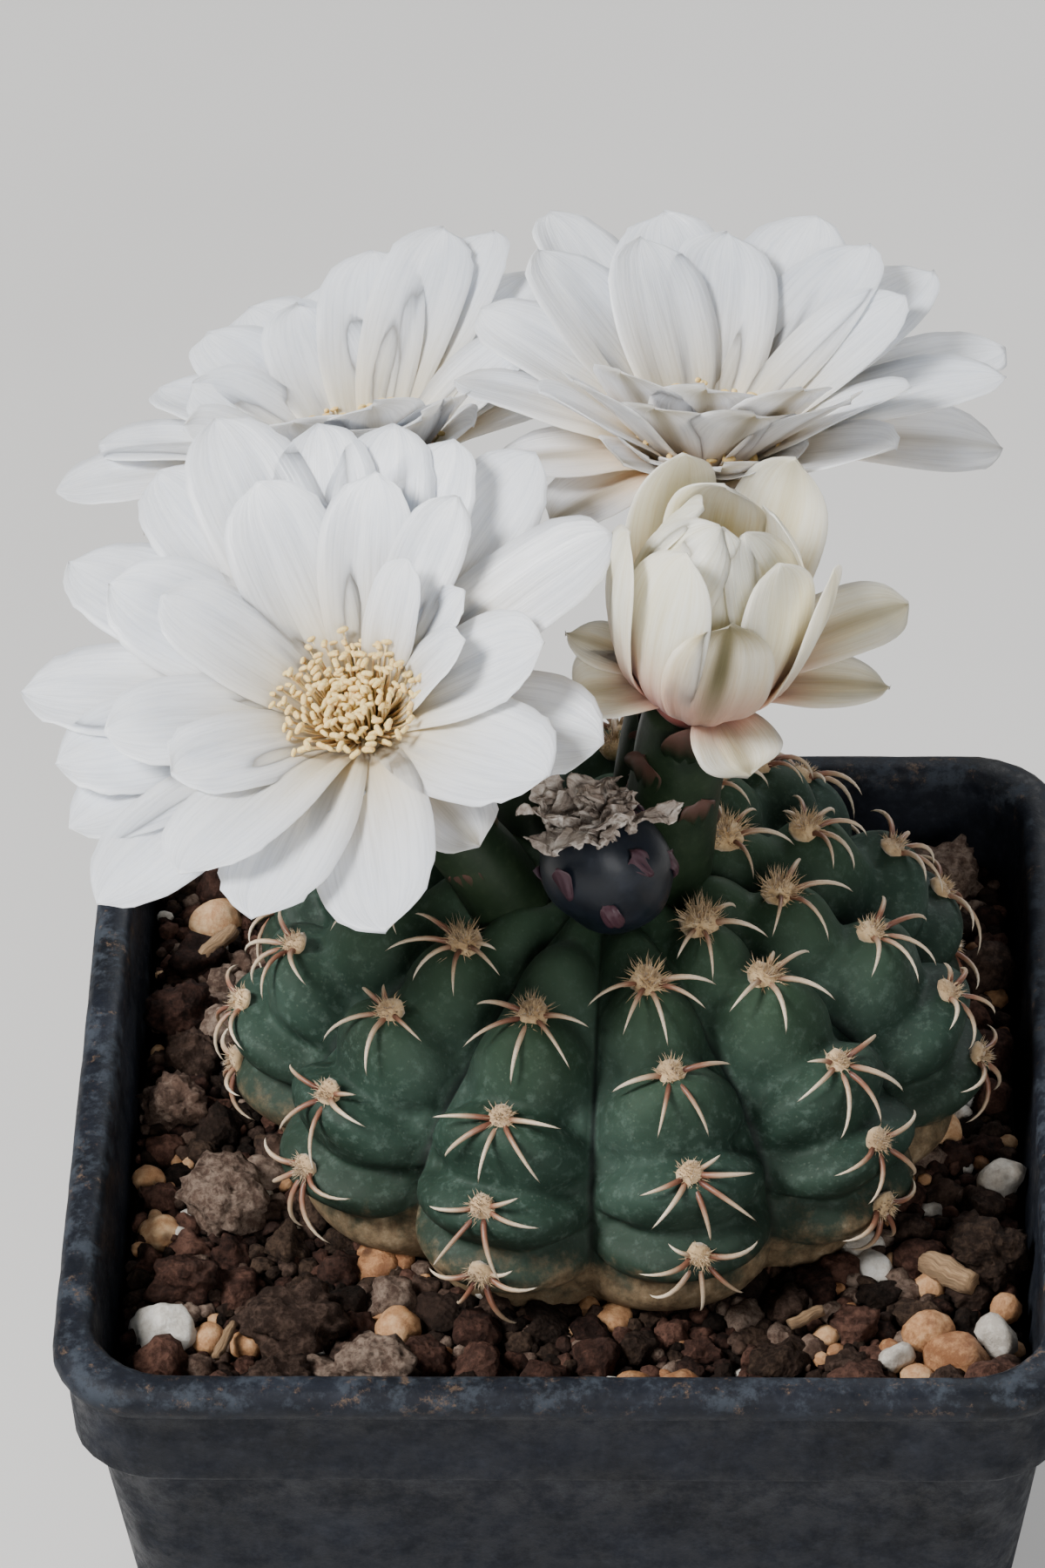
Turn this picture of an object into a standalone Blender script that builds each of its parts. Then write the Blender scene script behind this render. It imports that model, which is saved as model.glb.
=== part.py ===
"""A chin cactus in flower, in a square nursery pot. Metres, +Z up, origin at the centre of the pot's flat base.

The camera side of the plant is -Y. Every round form is worked out from the driving dimensions below.
"""

import math
import random

import bmesh
import bpy
from mathutils import Matrix, Vector

MM = 0.001

# Pot
POT_HEIGHT = 80 * MM
POT_LIP_HALF = 45 * MM
POT_INNER_HALF = 41.5 * MM
POT_COLLAR_HALF = 43.6 * MM
POT_COLLAR_DEPTH = 11 * MM
POT_SHOULDER_HALF = 41.9 * MM
POT_BASE_HALF = 33 * MM
POT_WALL = 1.3 * MM
POT_FLOOR = 2 * MM
POT_CORNER = 8 * MM
POT_CORNER_STEPS = 4
DRAIN_RADIUS = 4 * MM
DRAIN_OFFSET = 19 * MM

# Soil
SOIL_LEVEL = 72 * MM
SOIL_BUMP = 1.1 * MM
SOIL_STONES = 30
SOIL_STONE_RADII = (1.8 * MM, 3.6 * MM)
CLEARANCE = 0.35 * MM

# Stem
STEM_CENTRE = Vector((2.8 * MM, 5.0 * MM, 80.5 * MM))
STEM_RADIUS = 33.5 * MM
STEM_HALF_HEIGHT = 19 * MM
STEM_RIBS = 11
STEM_POINTS_PER_RIB = 4
STEM_RINGS = 19
STEM_FRONT_GROOVE = math.radians(-92)
GROOVE_DEPTH = 3.4 * MM
CHIN_DEPTH = 2.6 * MM
CHIN_PINCH = 0.35
GROOVE_POWER_CROWN = 1.8
GROOVE_POWER_SIDE = 2.7
CHIN_LEAD = 4
CROWN_DIP = 2.6 * MM
ROOT_START = math.radians(117)
ROOT_RADIUS = 5 * MM
ROOT_DEPTH = 17 * MM

# Areoles and spines
AREOLE_ANGLES = (15, 28, 46, 67, 88)
AREOLE_LOW_ANGLES = (20, 35, 56, 76, 96)
AREOLE_LOW_RIBS = (1, 3, 5, 8, 10)
AREOLE_RADIUS = 1.5 * MM
SPINE_LENGTH = 7.4 * MM
SPINE_RADIUS = 0.38 * MM
SPINE_FAN = (-76, -27, 27, 76)
SPINE_LOW_FAN = (-70, 0, 70)
SPINE_LOW_ANGLE = 85
SPINE_CROWN_LIMIT = 26
TUBE_CLEARING = 6.4 * MM

# Blooms. Azimuth 0 is towards +X and 90 away from the camera side, turning round the bloom's axis.
# Each petal is (azimuth, opening from the axis, length in mm, width in mm).
PETAL_THICKNESS = 0.65 * MM
PETAL_STATIONS = (0, 0.42, 0.8, 1)
SCALE_STATIONS = (0, 0.55, 1)
PETAL_ROOT = 3.0 * MM
PETAL_IN_CUP = 0.9
PETAL_CURL = math.radians(12)
PETAL_CUPPED = math.radians(30)
BUD_BULGE = math.radians(44)
BUD_CLOSING = math.radians(24)
BUD_HEART = math.radians(10)
BUD_HEART_CLOSING = math.radians(44)
CUP_RADIUS = 3.6 * MM
CUP_HEIGHT = 1.4 * MM
STAMENS = 10
STAMEN_LENGTH = 5 * MM
STAMEN_SPREAD = math.radians(30)
STAMEN_RADIUS = 0.42 * MM

FRONT_BLOOM = {
    "throat": Vector((-18.3, 0.3, 117.8)) * MM,
    "axis": Vector((-0.18, -0.29, 0.94)),
    "root": Vector((-5.5, 2.5, 97.0)) * MM,
    "tube_radii": (3.6, 3.3, 3.5),
    "petals": (
        (176, 80, 28.5, 9), (193, 78, 25.5, 9), (206, 82, 26, 9), (223, 82, 28.5, 9), (148, 78, 29, 9.5),
        (281, 80, 25.5, 10), (343, 84, 22.5, 10), (21, 70, 27, 9), (125, 76, 29, 9.5), (307, 90, 17, 8),
        (324, 72, 22.5, 10), (256, 74, 25.5, 9), (240, 68, 25, 9), (191, 66, 21.5, 9), (152, 68, 24, 9.5),
        (113, 68, 29.5, 10), (96, 66, 26, 9), (48, 72, 27, 9), (358, 60, 19.5, 8.5), (66, 64, 25, 9),
        (213, 60, 18, 8), (152, 54, 19.5, 8), (112, 56, 22, 9), (77, 52, 21, 8), (53, 50, 21, 7),
    ),
    "stamens": True,
}
BACK_BLOOM = {
    "throat": Vector((-18.4, 31.0, 121.0)) * MM,
    "axis": Vector((-0.16, 0.20, 0.96)),
    "root": Vector((-3.5, 12.5, 97.0)) * MM,
    "tube_radii": (3.6, 3.2, 3.5),
    "petals": (
        (184, 84, 27, 9), (169, 80, 24, 9), (145, 76, 23, 9.5), (116, 72, 26, 10), (97, 68, 25, 10),
        (35, 78, 20, 9), (200, 88, 20, 8), (51, 70, 26, 9), (12, 78, 22, 9), (62, 66, 29, 8),
        (328, 54, 13, 8.5), (236, 46, 14.5, 9), (302, 44, 16, 9), (268, 40, 15.5, 9),
        (71, 62, 28, 8), (107, 60, 21, 9), (152, 60, 18, 8.5), (20, 58, 19, 8), (190, 54, 17, 8),
    ),
    "stamens": True,
}
TALL_BLOOM = {
    "throat": Vector((11.4, 25.0, 127.1)) * MM,
    "axis": Vector((0.08, 0.12, 0.99)),
    "root": Vector((6.5, 15.0, 97.0)) * MM,
    "tube_radii": (3.6, 3.0, 3.5),
    "petals": (
        (125, 66, 29, 9), (12, 92, 26, 9), (26, 78, 29, 9), (12, 74, 27, 8.5), (40, 66, 28, 8.5),
        (90, 70, 26, 9.5), (166, 82, 22, 8), (186, 94, 17, 8), (148, 74, 24, 9), (212, 102, 14, 7.5),
        (270, 68, 9.5, 8.5), (330, 64, 19, 9), (68, 62, 28, 9.5), (103, 60, 26, 10), (236, 60, 13, 8.5),
        (136, 56, 24, 9.5), (52, 58, 26, 9), (350, 54, 20, 8), (302, 38, 21.5, 9), (268, 34, 20, 9),
        (85, 54, 23, 9), (205, 54, 18, 8.5), (234, 36, 20.5, 9),
    ),
    "stamens": True,
}
OPENING_BUD = {
    "throat": Vector((10.7, 5.0, 117.6)) * MM,
    "axis": Vector((0.17, -0.06, 0.98)),
    "root": Vector((8.0, 5.5, 97.0)) * MM,
    "tube_radii": (4.0, 4.3, 3.9),
    "petals": (
        (196, 86, 9.5, 9), (162, 82, 10.5, 6), (300, 98, 8.5, 8.5), (2, 80, 15.5, 7.5), (21, 66, 19, 8),
        (110, 70, 12, 7),
        (275, 11, 19, 9.5), (190, 15, 22, 9), (345, 17, 21.5, 9), (60, 22, 23.5, 9.5), (118, 16, 23, 9),
        (232, 10, 22.5, 10), (312, 10, 21.5, 9.5),
        (28, 5, 23.5, 9), (92, 5, 24, 9), (160, 4, 23.5, 9), (215, 2, 24, 9.5), (262, 1, 24, 9.5), (318, 2, 23.5, 9.5),
    ),
    "stamens": False,
}

# Fruit with the dried flower still on it
FRUIT_CENTRE = Vector((3.2, -3.6, 105.4)) * MM
FRUIT_AXIS = Vector((-0.42, -0.2, 0.88))
FRUIT_RADIUS = 5.6 * MM
FRUIT_HALF_LENGTH = 6.6 * MM
DRIED_HEIGHT = 4 * MM

WHITE = (0.88, 0.87, 0.85)
CREAM = (0.86, 0.80, 0.66)
YELLOW = (0.85, 0.66, 0.26)
DARK_GREEN = (0.045, 0.075, 0.05)
BODY_GREEN = (0.07, 0.14, 0.11)
BLUE_BLACK = (0.035, 0.04, 0.065)
STRAW = (0.42, 0.30, 0.20)
BLACK = (0.02, 0.022, 0.028)
EARTH = (0.14, 0.085, 0.055)


def clear_scene():
    for obj in list(bpy.data.objects):
        bpy.data.objects.remove(obj, do_unlink=True)


def material(name, colour, roughness):
    made = bpy.data.materials.new(name)
    made.use_nodes = True
    shader = made.node_tree.nodes["Principled BSDF"]
    shader.inputs["Base Color"].default_value = (*colour, 1)
    shader.inputs["Roughness"].default_value = roughness
    shader.inputs["Metallic"].default_value = 0
    return made


def collection(name):
    made = bpy.data.collections.new(name)
    bpy.context.scene.collection.children.link(made)
    return made


def add_object(name, points, faces, group, finish=None):
    mesh = bpy.data.meshes.new(name)
    mesh.from_pydata([tuple(p) for p in points], [], faces)
    mesh.validate()
    obj = bpy.data.objects.new(name, mesh)
    group.objects.link(obj)
    if finish:
        mesh.materials.append(finish)
    return obj


def loft(rings, capped=True):
    """Points and faces of a skin over rings of equal count, closed by flat caps. A ring of one point is a tip."""
    points, faces, starts = [], [], []
    for ring in rings:
        starts.append(len(points))
        points.extend(ring)
    for a, b, ring_a, ring_b in zip(starts, starts[1:], rings, rings[1:]):
        count = max(len(ring_a), len(ring_b))
        for i in range(count):
            j = (i + 1) % count
            if len(ring_a) == 1:
                faces.append((a, b + j, b + i))
            elif len(ring_b) == 1:
                faces.append((a + i, a + j, b))
            else:
                faces.append((a + i, a + j, b + j, b + i))
    if capped and len(rings[0]) > 1:
        faces.append(tuple(reversed(range(len(rings[0])))))
    if capped and len(rings[-1]) > 1:
        faces.append(tuple(range(starts[-1], starts[-1] + len(rings[-1]))))
    return points, faces


def frame_of(direction, hint=Vector((0, 0, 1))):
    """Two unit vectors square to direction and to each other."""
    side = direction.cross(hint)
    if side.length < 1e-6:
        side = direction.cross(Vector((1, 0, 0)))
    side.normalize()
    return side, side.cross(direction).normalized()


def tube_rings(path, radii, sides):
    """Rings of a tube along path, or a single point where the radius is 0."""
    rings = []
    last = len(path) - 1
    for i, (point, radius) in enumerate(zip(path, radii)):
        direction = (path[min(i + 1, last)] - path[max(i - 1, 0)]).normalized()
        side, up = frame_of(direction)
        if radius == 0:
            rings.append([point])
            continue
        turns = [2 * math.pi * k / sides for k in range(sides)]
        rings.append([point + radius * (math.cos(t) * side - math.sin(t) * up) for t in turns])
    return rings


def join_all(name, base, repeats, finish, group):
    """One closed mesh from base and the collection repeats, which is then removed."""
    union = base.modifiers.new("join", "BOOLEAN")
    union.operation = "UNION"
    union.operand_type = "COLLECTION"
    union.collection = repeats
    union.solver = "MANIFOLD"
    return baked(name, base, repeats, finish, group)


def baked(name, base, helpers, finish, group):
    """base with its modifiers applied, as a new object, after which base and its helpers go."""
    graph = bpy.context.evaluated_depsgraph_get()
    mesh = bpy.data.meshes.new_from_object(base.evaluated_get(graph))
    mesh.name = name
    mesh.materials.clear()
    mesh.materials.append(finish)
    keep_one_skin(mesh)
    matrix = base.matrix_world.copy()
    for helper in list(helpers.objects):
        bpy.data.objects.remove(helper, do_unlink=True)
    bpy.data.collections.remove(helpers)
    bpy.data.objects.remove(base, do_unlink=True)
    obj = bpy.data.objects.new(name, mesh)
    obj.matrix_world = matrix
    group.objects.link(obj)
    mesh.shade_smooth()
    mesh.set_sharp_from_angle(angle=math.radians(45))
    return obj


def keep_one_skin(mesh):
    """Drops loose scraps and the walls of sealed hollows, which leaves the one outer skin."""
    body = bmesh.new()
    body.from_mesh(mesh)
    unseen = set(body.faces)
    skins = []
    while unseen:
        skin = []
        pending = [unseen.pop()]
        while pending:
            face = pending.pop()
            skin.append(face)
            for edge in face.edges:
                for other in edge.link_faces:
                    if other in unseen:
                        unseen.remove(other)
                        pending.append(other)
        skins.append(skin)
    largest = max(skins, key=lambda faces: sum(face.calc_area() for face in faces))
    scraps = [face for skin in skins if skin is not largest for face in skin]
    bmesh.ops.delete(body, geom=scraps, context="FACES")
    body.to_mesh(mesh)
    body.free()


def rounded_square(half, corner, height):
    """One ring of a square with rounded corners, counter-clockwise from above."""
    ring = []
    for quarter in range(4):
        start = quarter * math.pi / 2
        signs = ((1, 1), (-1, 1), (-1, -1), (1, -1))[quarter]
        centre = Vector((signs[0] * (half - corner), signs[1] * (half - corner)))
        for step in range(POT_CORNER_STEPS + 1):
            angle = start + step * math.pi / 2 / POT_CORNER_STEPS
            ring.append(Vector((centre.x + corner * math.cos(angle), centre.y + corner * math.sin(angle), height)))
    return ring


def pot_inner_half(height):
    """Half the pot's clear width at a height above its floor."""
    share = height / POT_HEIGHT
    return POT_BASE_HALF - POT_WALL + share * (POT_INNER_HALF - POT_BASE_HALF + POT_WALL)


def make_pot(group):
    """The square pot: tapered wall, a collar under a rounded lip, a floor with four drain holes."""
    collar = POT_HEIGHT - POT_COLLAR_DEPTH
    outline = [
        (POT_BASE_HALF - 1 * MM, 0),
        (POT_BASE_HALF, 1 * MM),
        (POT_SHOULDER_HALF, collar - 1 * MM),
        (POT_COLLAR_HALF, collar),
        (POT_COLLAR_HALF + 0.4 * MM, POT_HEIGHT - 3.2 * MM),
        (POT_LIP_HALF - 0.3 * MM, POT_HEIGHT - 2.8 * MM),
        (POT_LIP_HALF, POT_HEIGHT - 1.4 * MM),
        (POT_LIP_HALF - 0.7 * MM, POT_HEIGHT - 0.3 * MM),
        (POT_LIP_HALF - 1.8 * MM, POT_HEIGHT),
        (POT_INNER_HALF + 0.9 * MM, POT_HEIGHT),
        (POT_INNER_HALF, POT_HEIGHT - 0.8 * MM),
        (pot_inner_half(POT_FLOOR), POT_FLOOR),
    ]
    rings = [rounded_square(half, POT_CORNER * half / POT_LIP_HALF, height) for half, height in outline]
    base = add_object("pot_shell", *loft(rings), group)
    drains = collection("drain_cutters")
    for quarter in range(4):
        angle = math.radians(45 + 90 * quarter)
        place = (DRAIN_OFFSET * math.cos(angle), DRAIN_OFFSET * math.sin(angle), POT_FLOOR / 2)
        bpy.ops.mesh.primitive_cylinder_add(vertices=16, radius=DRAIN_RADIUS, depth=4 * POT_FLOOR, location=place)
        cutter = bpy.context.object
        cutter.hide_render = True
        cutter.display_type = "WIRE"
        for holder in cutter.users_collection:
            holder.objects.unlink(cutter)
        drains.objects.link(cutter)
    cut = base.modifiers.new("drains", "BOOLEAN")
    cut.operation = "DIFFERENCE"
    cut.operand_type = "COLLECTION"
    cut.collection = drains
    cut.solver = "EXACT"
    return baked("pot", base, drains, material("black_plastic", BLACK, 0.55), group)


def areole_angles(rib):
    """Angles from the crown, in degrees, of one rib's areoles. About every second rib is half a step lower."""
    return AREOLE_LOW_ANGLES if rib in AREOLE_LOW_RIBS else AREOLE_ANGLES


def rib_azimuth(rib):
    return STEM_FRONT_GROOVE + 2 * math.pi * (rib + 0.5) / STEM_RIBS


def stem_profile(angle):
    """(radius, height) of the stem's crests at an angle from the crown, without chins."""
    if angle > ROOT_START:
        share = (angle - ROOT_START) / (math.pi - ROOT_START)
        top = STEM_RADIUS * math.sin(ROOT_START)
        drop = STEM_CENTRE.z + STEM_HALF_HEIGHT * math.cos(ROOT_START)
        return top + (ROOT_RADIUS - top) * share ** 0.8, drop - ROOT_DEPTH * share
    dip = CROWN_DIP * math.exp(-((angle / 0.33) ** 2))
    return STEM_RADIUS * math.sin(angle), STEM_CENTRE.z + STEM_HALF_HEIGHT * math.cos(angle) - dip


def chin_phase(angle, rows):
    """How far an angle has come from one areole's chin to the next, from 0 to 1."""
    steps = [low - high for high, low in zip(rows, rows[1:])]
    edges = [rows[0] - steps[0], *rows, rows[-1] + steps[-1], rows[-1] + 2 * steps[-1]]
    for high, low in zip(edges, edges[1:]):
        if high <= angle < low:
            return (angle - high) / (low - high)
    return 0


def stem_point(azimuth, angle, lift=0.0):
    """A point on the ribbed surface: crests at the rib azimuths, chins under each areole, lift outwards."""
    radius, height = stem_profile(angle)
    turn = (azimuth - STEM_FRONT_GROOVE) / (2 * math.pi) * STEM_RIBS
    rib = math.floor(turn) % STEM_RIBS
    across = abs(2 * (turn - math.floor(turn)) - 1)
    fade = min(1, math.sin(min(angle, math.pi / 2)) * 1.6) * max(0, min(1, (ROOT_START + 0.25 - angle) / 0.7))
    phase = chin_phase(math.degrees(angle) + CHIN_LEAD, areole_angles(rib))
    pinch = CHIN_PINCH * (0.5 + 0.5 * math.cos(2 * math.pi * phase)) ** 2
    power = GROOVE_POWER_CROWN + (GROOVE_POWER_SIDE - GROOVE_POWER_CROWN) * math.sin(min(angle, math.pi / 2))
    depth = GROOVE_DEPTH * min(1, across * (1 + pinch)) ** power
    chin = CHIN_DEPTH * (0.5 - 0.5 * math.cos(2 * math.pi * phase ** 0.75)) * (1 - across ** 2)
    out = (chin - depth - 0.4 * CHIN_DEPTH) * fade + lift
    normal = Vector((math.sin(angle) / STEM_RADIUS, math.cos(angle) / STEM_HALF_HEIGHT)).normalized()
    if angle > ROOT_START:
        normal = Vector((1, 0))
    radius += out * normal.x
    height += out * normal.y
    return Vector((
        STEM_CENTRE.x + radius * math.cos(azimuth),
        STEM_CENTRE.y + radius * math.sin(azimuth),
        height,
    ))


def stem_normal(azimuth, angle):
    flat = Vector((math.cos(azimuth), math.sin(azimuth), 0)) * (math.sin(angle) / STEM_RADIUS)
    return (flat + Vector((0, 0, math.cos(angle) / STEM_HALF_HEIGHT))).normalized()


def curved_spine(start, out, along, length, radius):
    """A three-sided needle that leaves start outwards and bends over towards along."""
    mid = start + length * 0.5 * (0.62 * out + 0.78 * along).normalized()
    tip = mid + length * 0.5 * (-0.22 * out + along).normalized()
    path = [start - 0.8 * MM * out, mid, tip]
    return loft(tube_rings(path, (radius, radius * 0.75, 0), 3))


def clear_of_pot(points):
    """True where every point is above the lip, or inside the pot and above the soil."""
    for point in points:
        inside = max(abs(point.x), abs(point.y)) < POT_INNER_HALF - 0.5 * MM
        if point.z < POT_HEIGHT + 0.5 * MM and not (inside and point.z > SOIL_LEVEL + 2 * MM):
            return False
    return True


def clear_of_tubes(rib, angle_deg):
    """False for the few areoles a flower tube grows out of."""
    place = stem_point(rib_azimuth(rib), math.radians(angle_deg))
    roots = [bloom["root"] for bloom in (FRONT_BLOOM, BACK_BLOOM, TALL_BLOOM, OPENING_BUD)]
    roots.append(FRUIT_CENTRE)
    return all((place - root).xy.length > TUBE_CLEARING for root in roots)


def add_areole(rib, angle_deg, repeats):
    """A dome of wool on the crest with its fan of spines below it."""
    azimuth, angle = rib_azimuth(rib), math.radians(angle_deg)
    place, normal = stem_point(azimuth, angle), stem_normal(azimuth, angle)
    side = Vector((-math.sin(azimuth), math.cos(azimuth), 0))
    down = side.cross(normal).normalized()
    if down.z > 0:
        down = -down
    dome = [place - 1 * MM * normal, place + 1.1 * MM * normal]
    add_object("wool", *loft(tube_rings(dome, (AREOLE_RADIUS * 1.2, AREOLE_RADIUS * 0.6), 5)), repeats)
    if angle_deg < SPINE_CROWN_LIMIT:
        return
    for fan in SPINE_LOW_FAN if angle_deg > SPINE_LOW_ANGLE else SPINE_FAN:
        turn = math.radians(fan)
        along = math.cos(turn) * down + math.sin(turn) * side
        length = SPINE_LENGTH * (1 - 0.12 * abs(math.sin(turn)))
        start = place + 0.5 * MM * along
        spine = curved_spine(start, normal, along, length, SPINE_RADIUS)
        if clear_of_pot(spine[0]):
            add_object("spine", *spine, repeats)


def make_stem(group):
    """The ribbed stem with its root, its areoles and its spines, in one piece."""
    segments = STEM_RIBS * STEM_POINTS_PER_RIB
    rings = [[stem_point(0, 0.0)]]
    for k in range(1, STEM_RINGS + 1):
        angle = math.pi * k / (STEM_RINGS + 1)
        turns = [STEM_FRONT_GROOVE - 2 * math.pi * i / segments for i in range(segments)]
        rings.append([stem_point(turn, angle) for turn in turns])
    bottom = Vector((STEM_CENTRE.x, STEM_CENTRE.y, rings[-1][0].z - 1 * MM))
    rings.append([bottom])
    base = add_object("stem_skin", *loft(rings), group)
    repeats = collection("stem_repeats")
    for rib in range(STEM_RIBS):
        for angle in areole_angles(rib):
            if clear_of_tubes(rib, angle):
                add_areole(rib, angle, repeats)
    return join_all("stem", base, repeats, material("stem_green", BODY_GREEN, 0.6), group)


def bloom_frame(axis):
    """The axis, the direction of azimuth 0 and that of azimuth 90, as unit vectors."""
    axis = axis.normalized()
    zero = (Vector((1, 0, 0)) - axis.x * axis).normalized()
    return axis, zero, axis.cross(zero)


def petal_half_width(t, width):
    """Narrow at the root, widest near two thirds, rounded at the tip."""
    if t < 0.62:
        return width / 2 * (0.3 + 0.7 * math.sin(t / 0.62 * math.pi / 2))
    return width / 2 * max(0.4, (1 - ((t - 0.62) / 0.38) ** 2.4) ** 0.6)


def petal_slope(t, opening, curl):
    """Angle between the petal and the bloom's axis: opening out, or bulging and closing again in a bud."""
    if 0 < opening < PETAL_CUPPED:
        closing = BUD_CLOSING + BUD_HEART_CLOSING * max(0, 1 - opening / BUD_HEART)
        return opening + BUD_BULGE * max(0, 1 - t / 0.4) - closing * max(0, (t - 0.5) / 0.5)
    return opening * (0.45 + 0.55 * min(1, t / 0.4) ** 0.8) + curl * max(0, (t - 0.5) / 0.5) ** 2


def add_petal(bloom, petal, stations, repeats):
    """A thin arched blade from the bloom's throat, from a bent grid."""
    azimuth, opening, length, width = petal
    length = (length - PETAL_IN_CUP) * MM
    axis, zero, quarter = bloom_frame(bloom["axis"])
    turn = math.radians(azimuth)
    outward = math.cos(turn) * zero + math.sin(turn) * quarter
    side = axis.cross(outward)
    opening = math.radians(opening)
    steps = 24
    line = [(PETAL_ROOT, 0.0)]
    slopes = [petal_slope((i + 0.5) / steps, opening, PETAL_CURL) for i in range(steps)]
    for slope in slopes:
        reach, height = line[-1]
        line.append((reach + length / steps * math.sin(slope), height + length / steps * math.cos(slope)))
    points, faces = [], []
    for t in stations:
        reach, height = line[round(t * steps)]
        slope = slopes[min(steps - 1, round(t * steps))]
        inward = math.sin(slope) * axis - math.cos(slope) * outward
        half = petal_half_width(t, width * MM)
        centre = bloom["throat"] + reach * outward + height * axis
        for across in (-1, 0, 1):
            points.append(centre + across * half * side + 0.22 * half * across ** 2 * inward)
    for row in range(len(stations) - 1):
        for column in range(2):
            a = row * 3 + column
            faces.append((a, a + 1, a + 4, a + 3))
    blade = add_object("petal", points, faces, repeats)
    thick = blade.modifiers.new("thickness", "SOLIDIFY")
    thick.thickness = PETAL_THICKNESS
    thick.offset = -1


def make_petals(name, bloom, finish, group):
    """A bloom's petals in their whorls, grown together in a small cup at the throat."""
    axis = bloom["axis"].normalized()
    path = [bloom["throat"] + height * axis for height in (-CUP_HEIGHT, 0 * MM, CUP_HEIGHT)]
    cup = add_object("cup", *loft(tube_rings(path, (CUP_RADIUS * 0.8, CUP_RADIUS, CUP_RADIUS * 1.1), 12)), group)
    repeats = collection(name + "_blades")
    for petal in bloom["petals"]:
        add_petal(bloom, petal, PETAL_STATIONS, repeats)
    return join_all(name, cup, repeats, finish, group)


def make_stamens(name, bloom, finish, group):
    """The brush of stamens on its disc, just clear of the cup."""
    axis, zero, quarter = bloom_frame(bloom["axis"])
    foot = bloom["throat"] + (CUP_HEIGHT + CLEARANCE) * axis
    path = [foot, foot + 0.9 * MM * axis, foot + 4.5 * MM * axis]
    disc = add_object("disc", *loft(tube_rings(path, (1.5 * MM, 1.7 * MM, 1.1 * MM), 8)), group)
    repeats = collection(name + "_filaments")
    for k in range(STAMENS):
        turn = math.tau * k / STAMENS
        outward = math.cos(turn) * zero + math.sin(turn) * quarter
        spread = STAMEN_SPREAD * (1 if k % 2 else 0.62)
        along = math.cos(spread) * axis + math.sin(spread) * outward
        start = foot + 0.5 * MM * axis + 1.0 * MM * outward
        tip = start + STAMEN_LENGTH * along
        head = tip + 0.9 * MM * along
        rings = tube_rings([start, tip, tip + 0.3 * MM * along, head], (STAMEN_RADIUS, STAMEN_RADIUS, 0.8 * MM, 0), 3)
        add_object("filament", *loft(rings), repeats)
    return join_all(name, disc, repeats, finish, group)


def stem_skin(lift, group):
    """The stem's upper surface without wool or spines, lifted outwards, as a closed cutter."""
    segments = STEM_RIBS * STEM_POINTS_PER_RIB
    rings = [[stem_point(0, 0.0, lift)]]
    for k in range(1, 9):
        angle = math.pi * k / (STEM_RINGS + 1)
        turns = [STEM_FRONT_GROOVE - math.tau * i / segments for i in range(segments)]
        rings.append([stem_point(turn, angle, lift) for turn in turns])
    low = Vector((STEM_CENTRE.x, STEM_CENTRE.y, SOIL_LEVEL))
    rings.append([low])
    return add_object("skin_cutter", *loft(rings), group)


def rest_on_stem(obj, name, finish, group):
    """Cuts the foot of a tube or fruit to the stem's surface, with a hair of clearance."""
    helpers = collection(name + "_cutters")
    cut = obj.modifiers.new("seat", "BOOLEAN")
    cut.operation = "DIFFERENCE"
    cut.object = stem_skin(CLEARANCE, helpers)
    cut.solver = "MANIFOLD"
    return baked(name, obj, helpers, finish, group)


def make_tube(name, bloom, finish, group):
    """The green flower tube with a few scales, from the crown up to the petals' cup."""
    axis = bloom["axis"].normalized()
    top = bloom["throat"] - (CUP_HEIGHT + CLEARANCE) * axis
    root = bloom["root"]
    lift = (top - root).length
    bend = root + 0.45 * lift * (0.55 * (top - root).normalized() + 0.45 * Vector((0, 0, 1))).normalized()
    path = [root, bend, top - 3 * MM * axis, top]
    radii = [r * MM for r in (*bloom["tube_radii"], 3.5)]
    tube = add_object(name + "_skin", *loft(tube_rings(path, radii, 10)), group)
    scales = collection(name + "_scales")
    for k in range(4):
        share = 0.3 + 0.15 * k
        place = bend.lerp(top, (share - 0.3) / 0.7)
        scale = {"throat": place, "axis": (top - bend).normalized()}
        add_petal(scale, (k * 137.5 + 250, 35, 4.5, 3.6), SCALE_STATIONS, scales)
    tube = join_all(name + "_scaled", tube, scales, finish, group)
    return rest_on_stem(tube, name, finish, group)


def make_fruit(group):
    """The ripening fruit: an egg-shaped berry with a few flat scales."""
    axis, zero, quarter = bloom_frame(FRUIT_AXIS)
    path, radii = [], []
    for k in range(7):
        angle = math.pi * k / 6
        path.append(FRUIT_CENTRE - FRUIT_HALF_LENGTH * math.cos(angle) * axis)
        radii.append(FRUIT_RADIUS * math.sin(angle) ** 0.9 if 0 < k < 6 else (0 if k == 0 else 2 * MM))
    berry = add_object("berry", *loft(tube_rings(path, radii, 12)), group)
    scales = collection("fruit_scales")
    for k in range(6):
        turn = k * math.radians(137.5)
        outward = math.cos(turn) * zero + math.sin(turn) * quarter
        height = (-0.45 + 0.16 * k) * FRUIT_HALF_LENGTH
        reach = FRUIT_RADIUS * math.sqrt(1 - (height / FRUIT_HALF_LENGTH) ** 2) - PETAL_ROOT - 0.1 * MM
        scale = {"throat": FRUIT_CENTRE + height * axis + reach * outward, "axis": axis}
        add_petal(scale, (math.degrees(turn), -6, 4.6, 2.6), SCALE_STATIONS, scales)
    finish = material("fruit_skin", BLUE_BLACK, 0.3)
    berry = join_all("fruit_scaled", berry, scales, finish, group)
    return rest_on_stem(berry, "fruit", finish, group)


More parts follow.
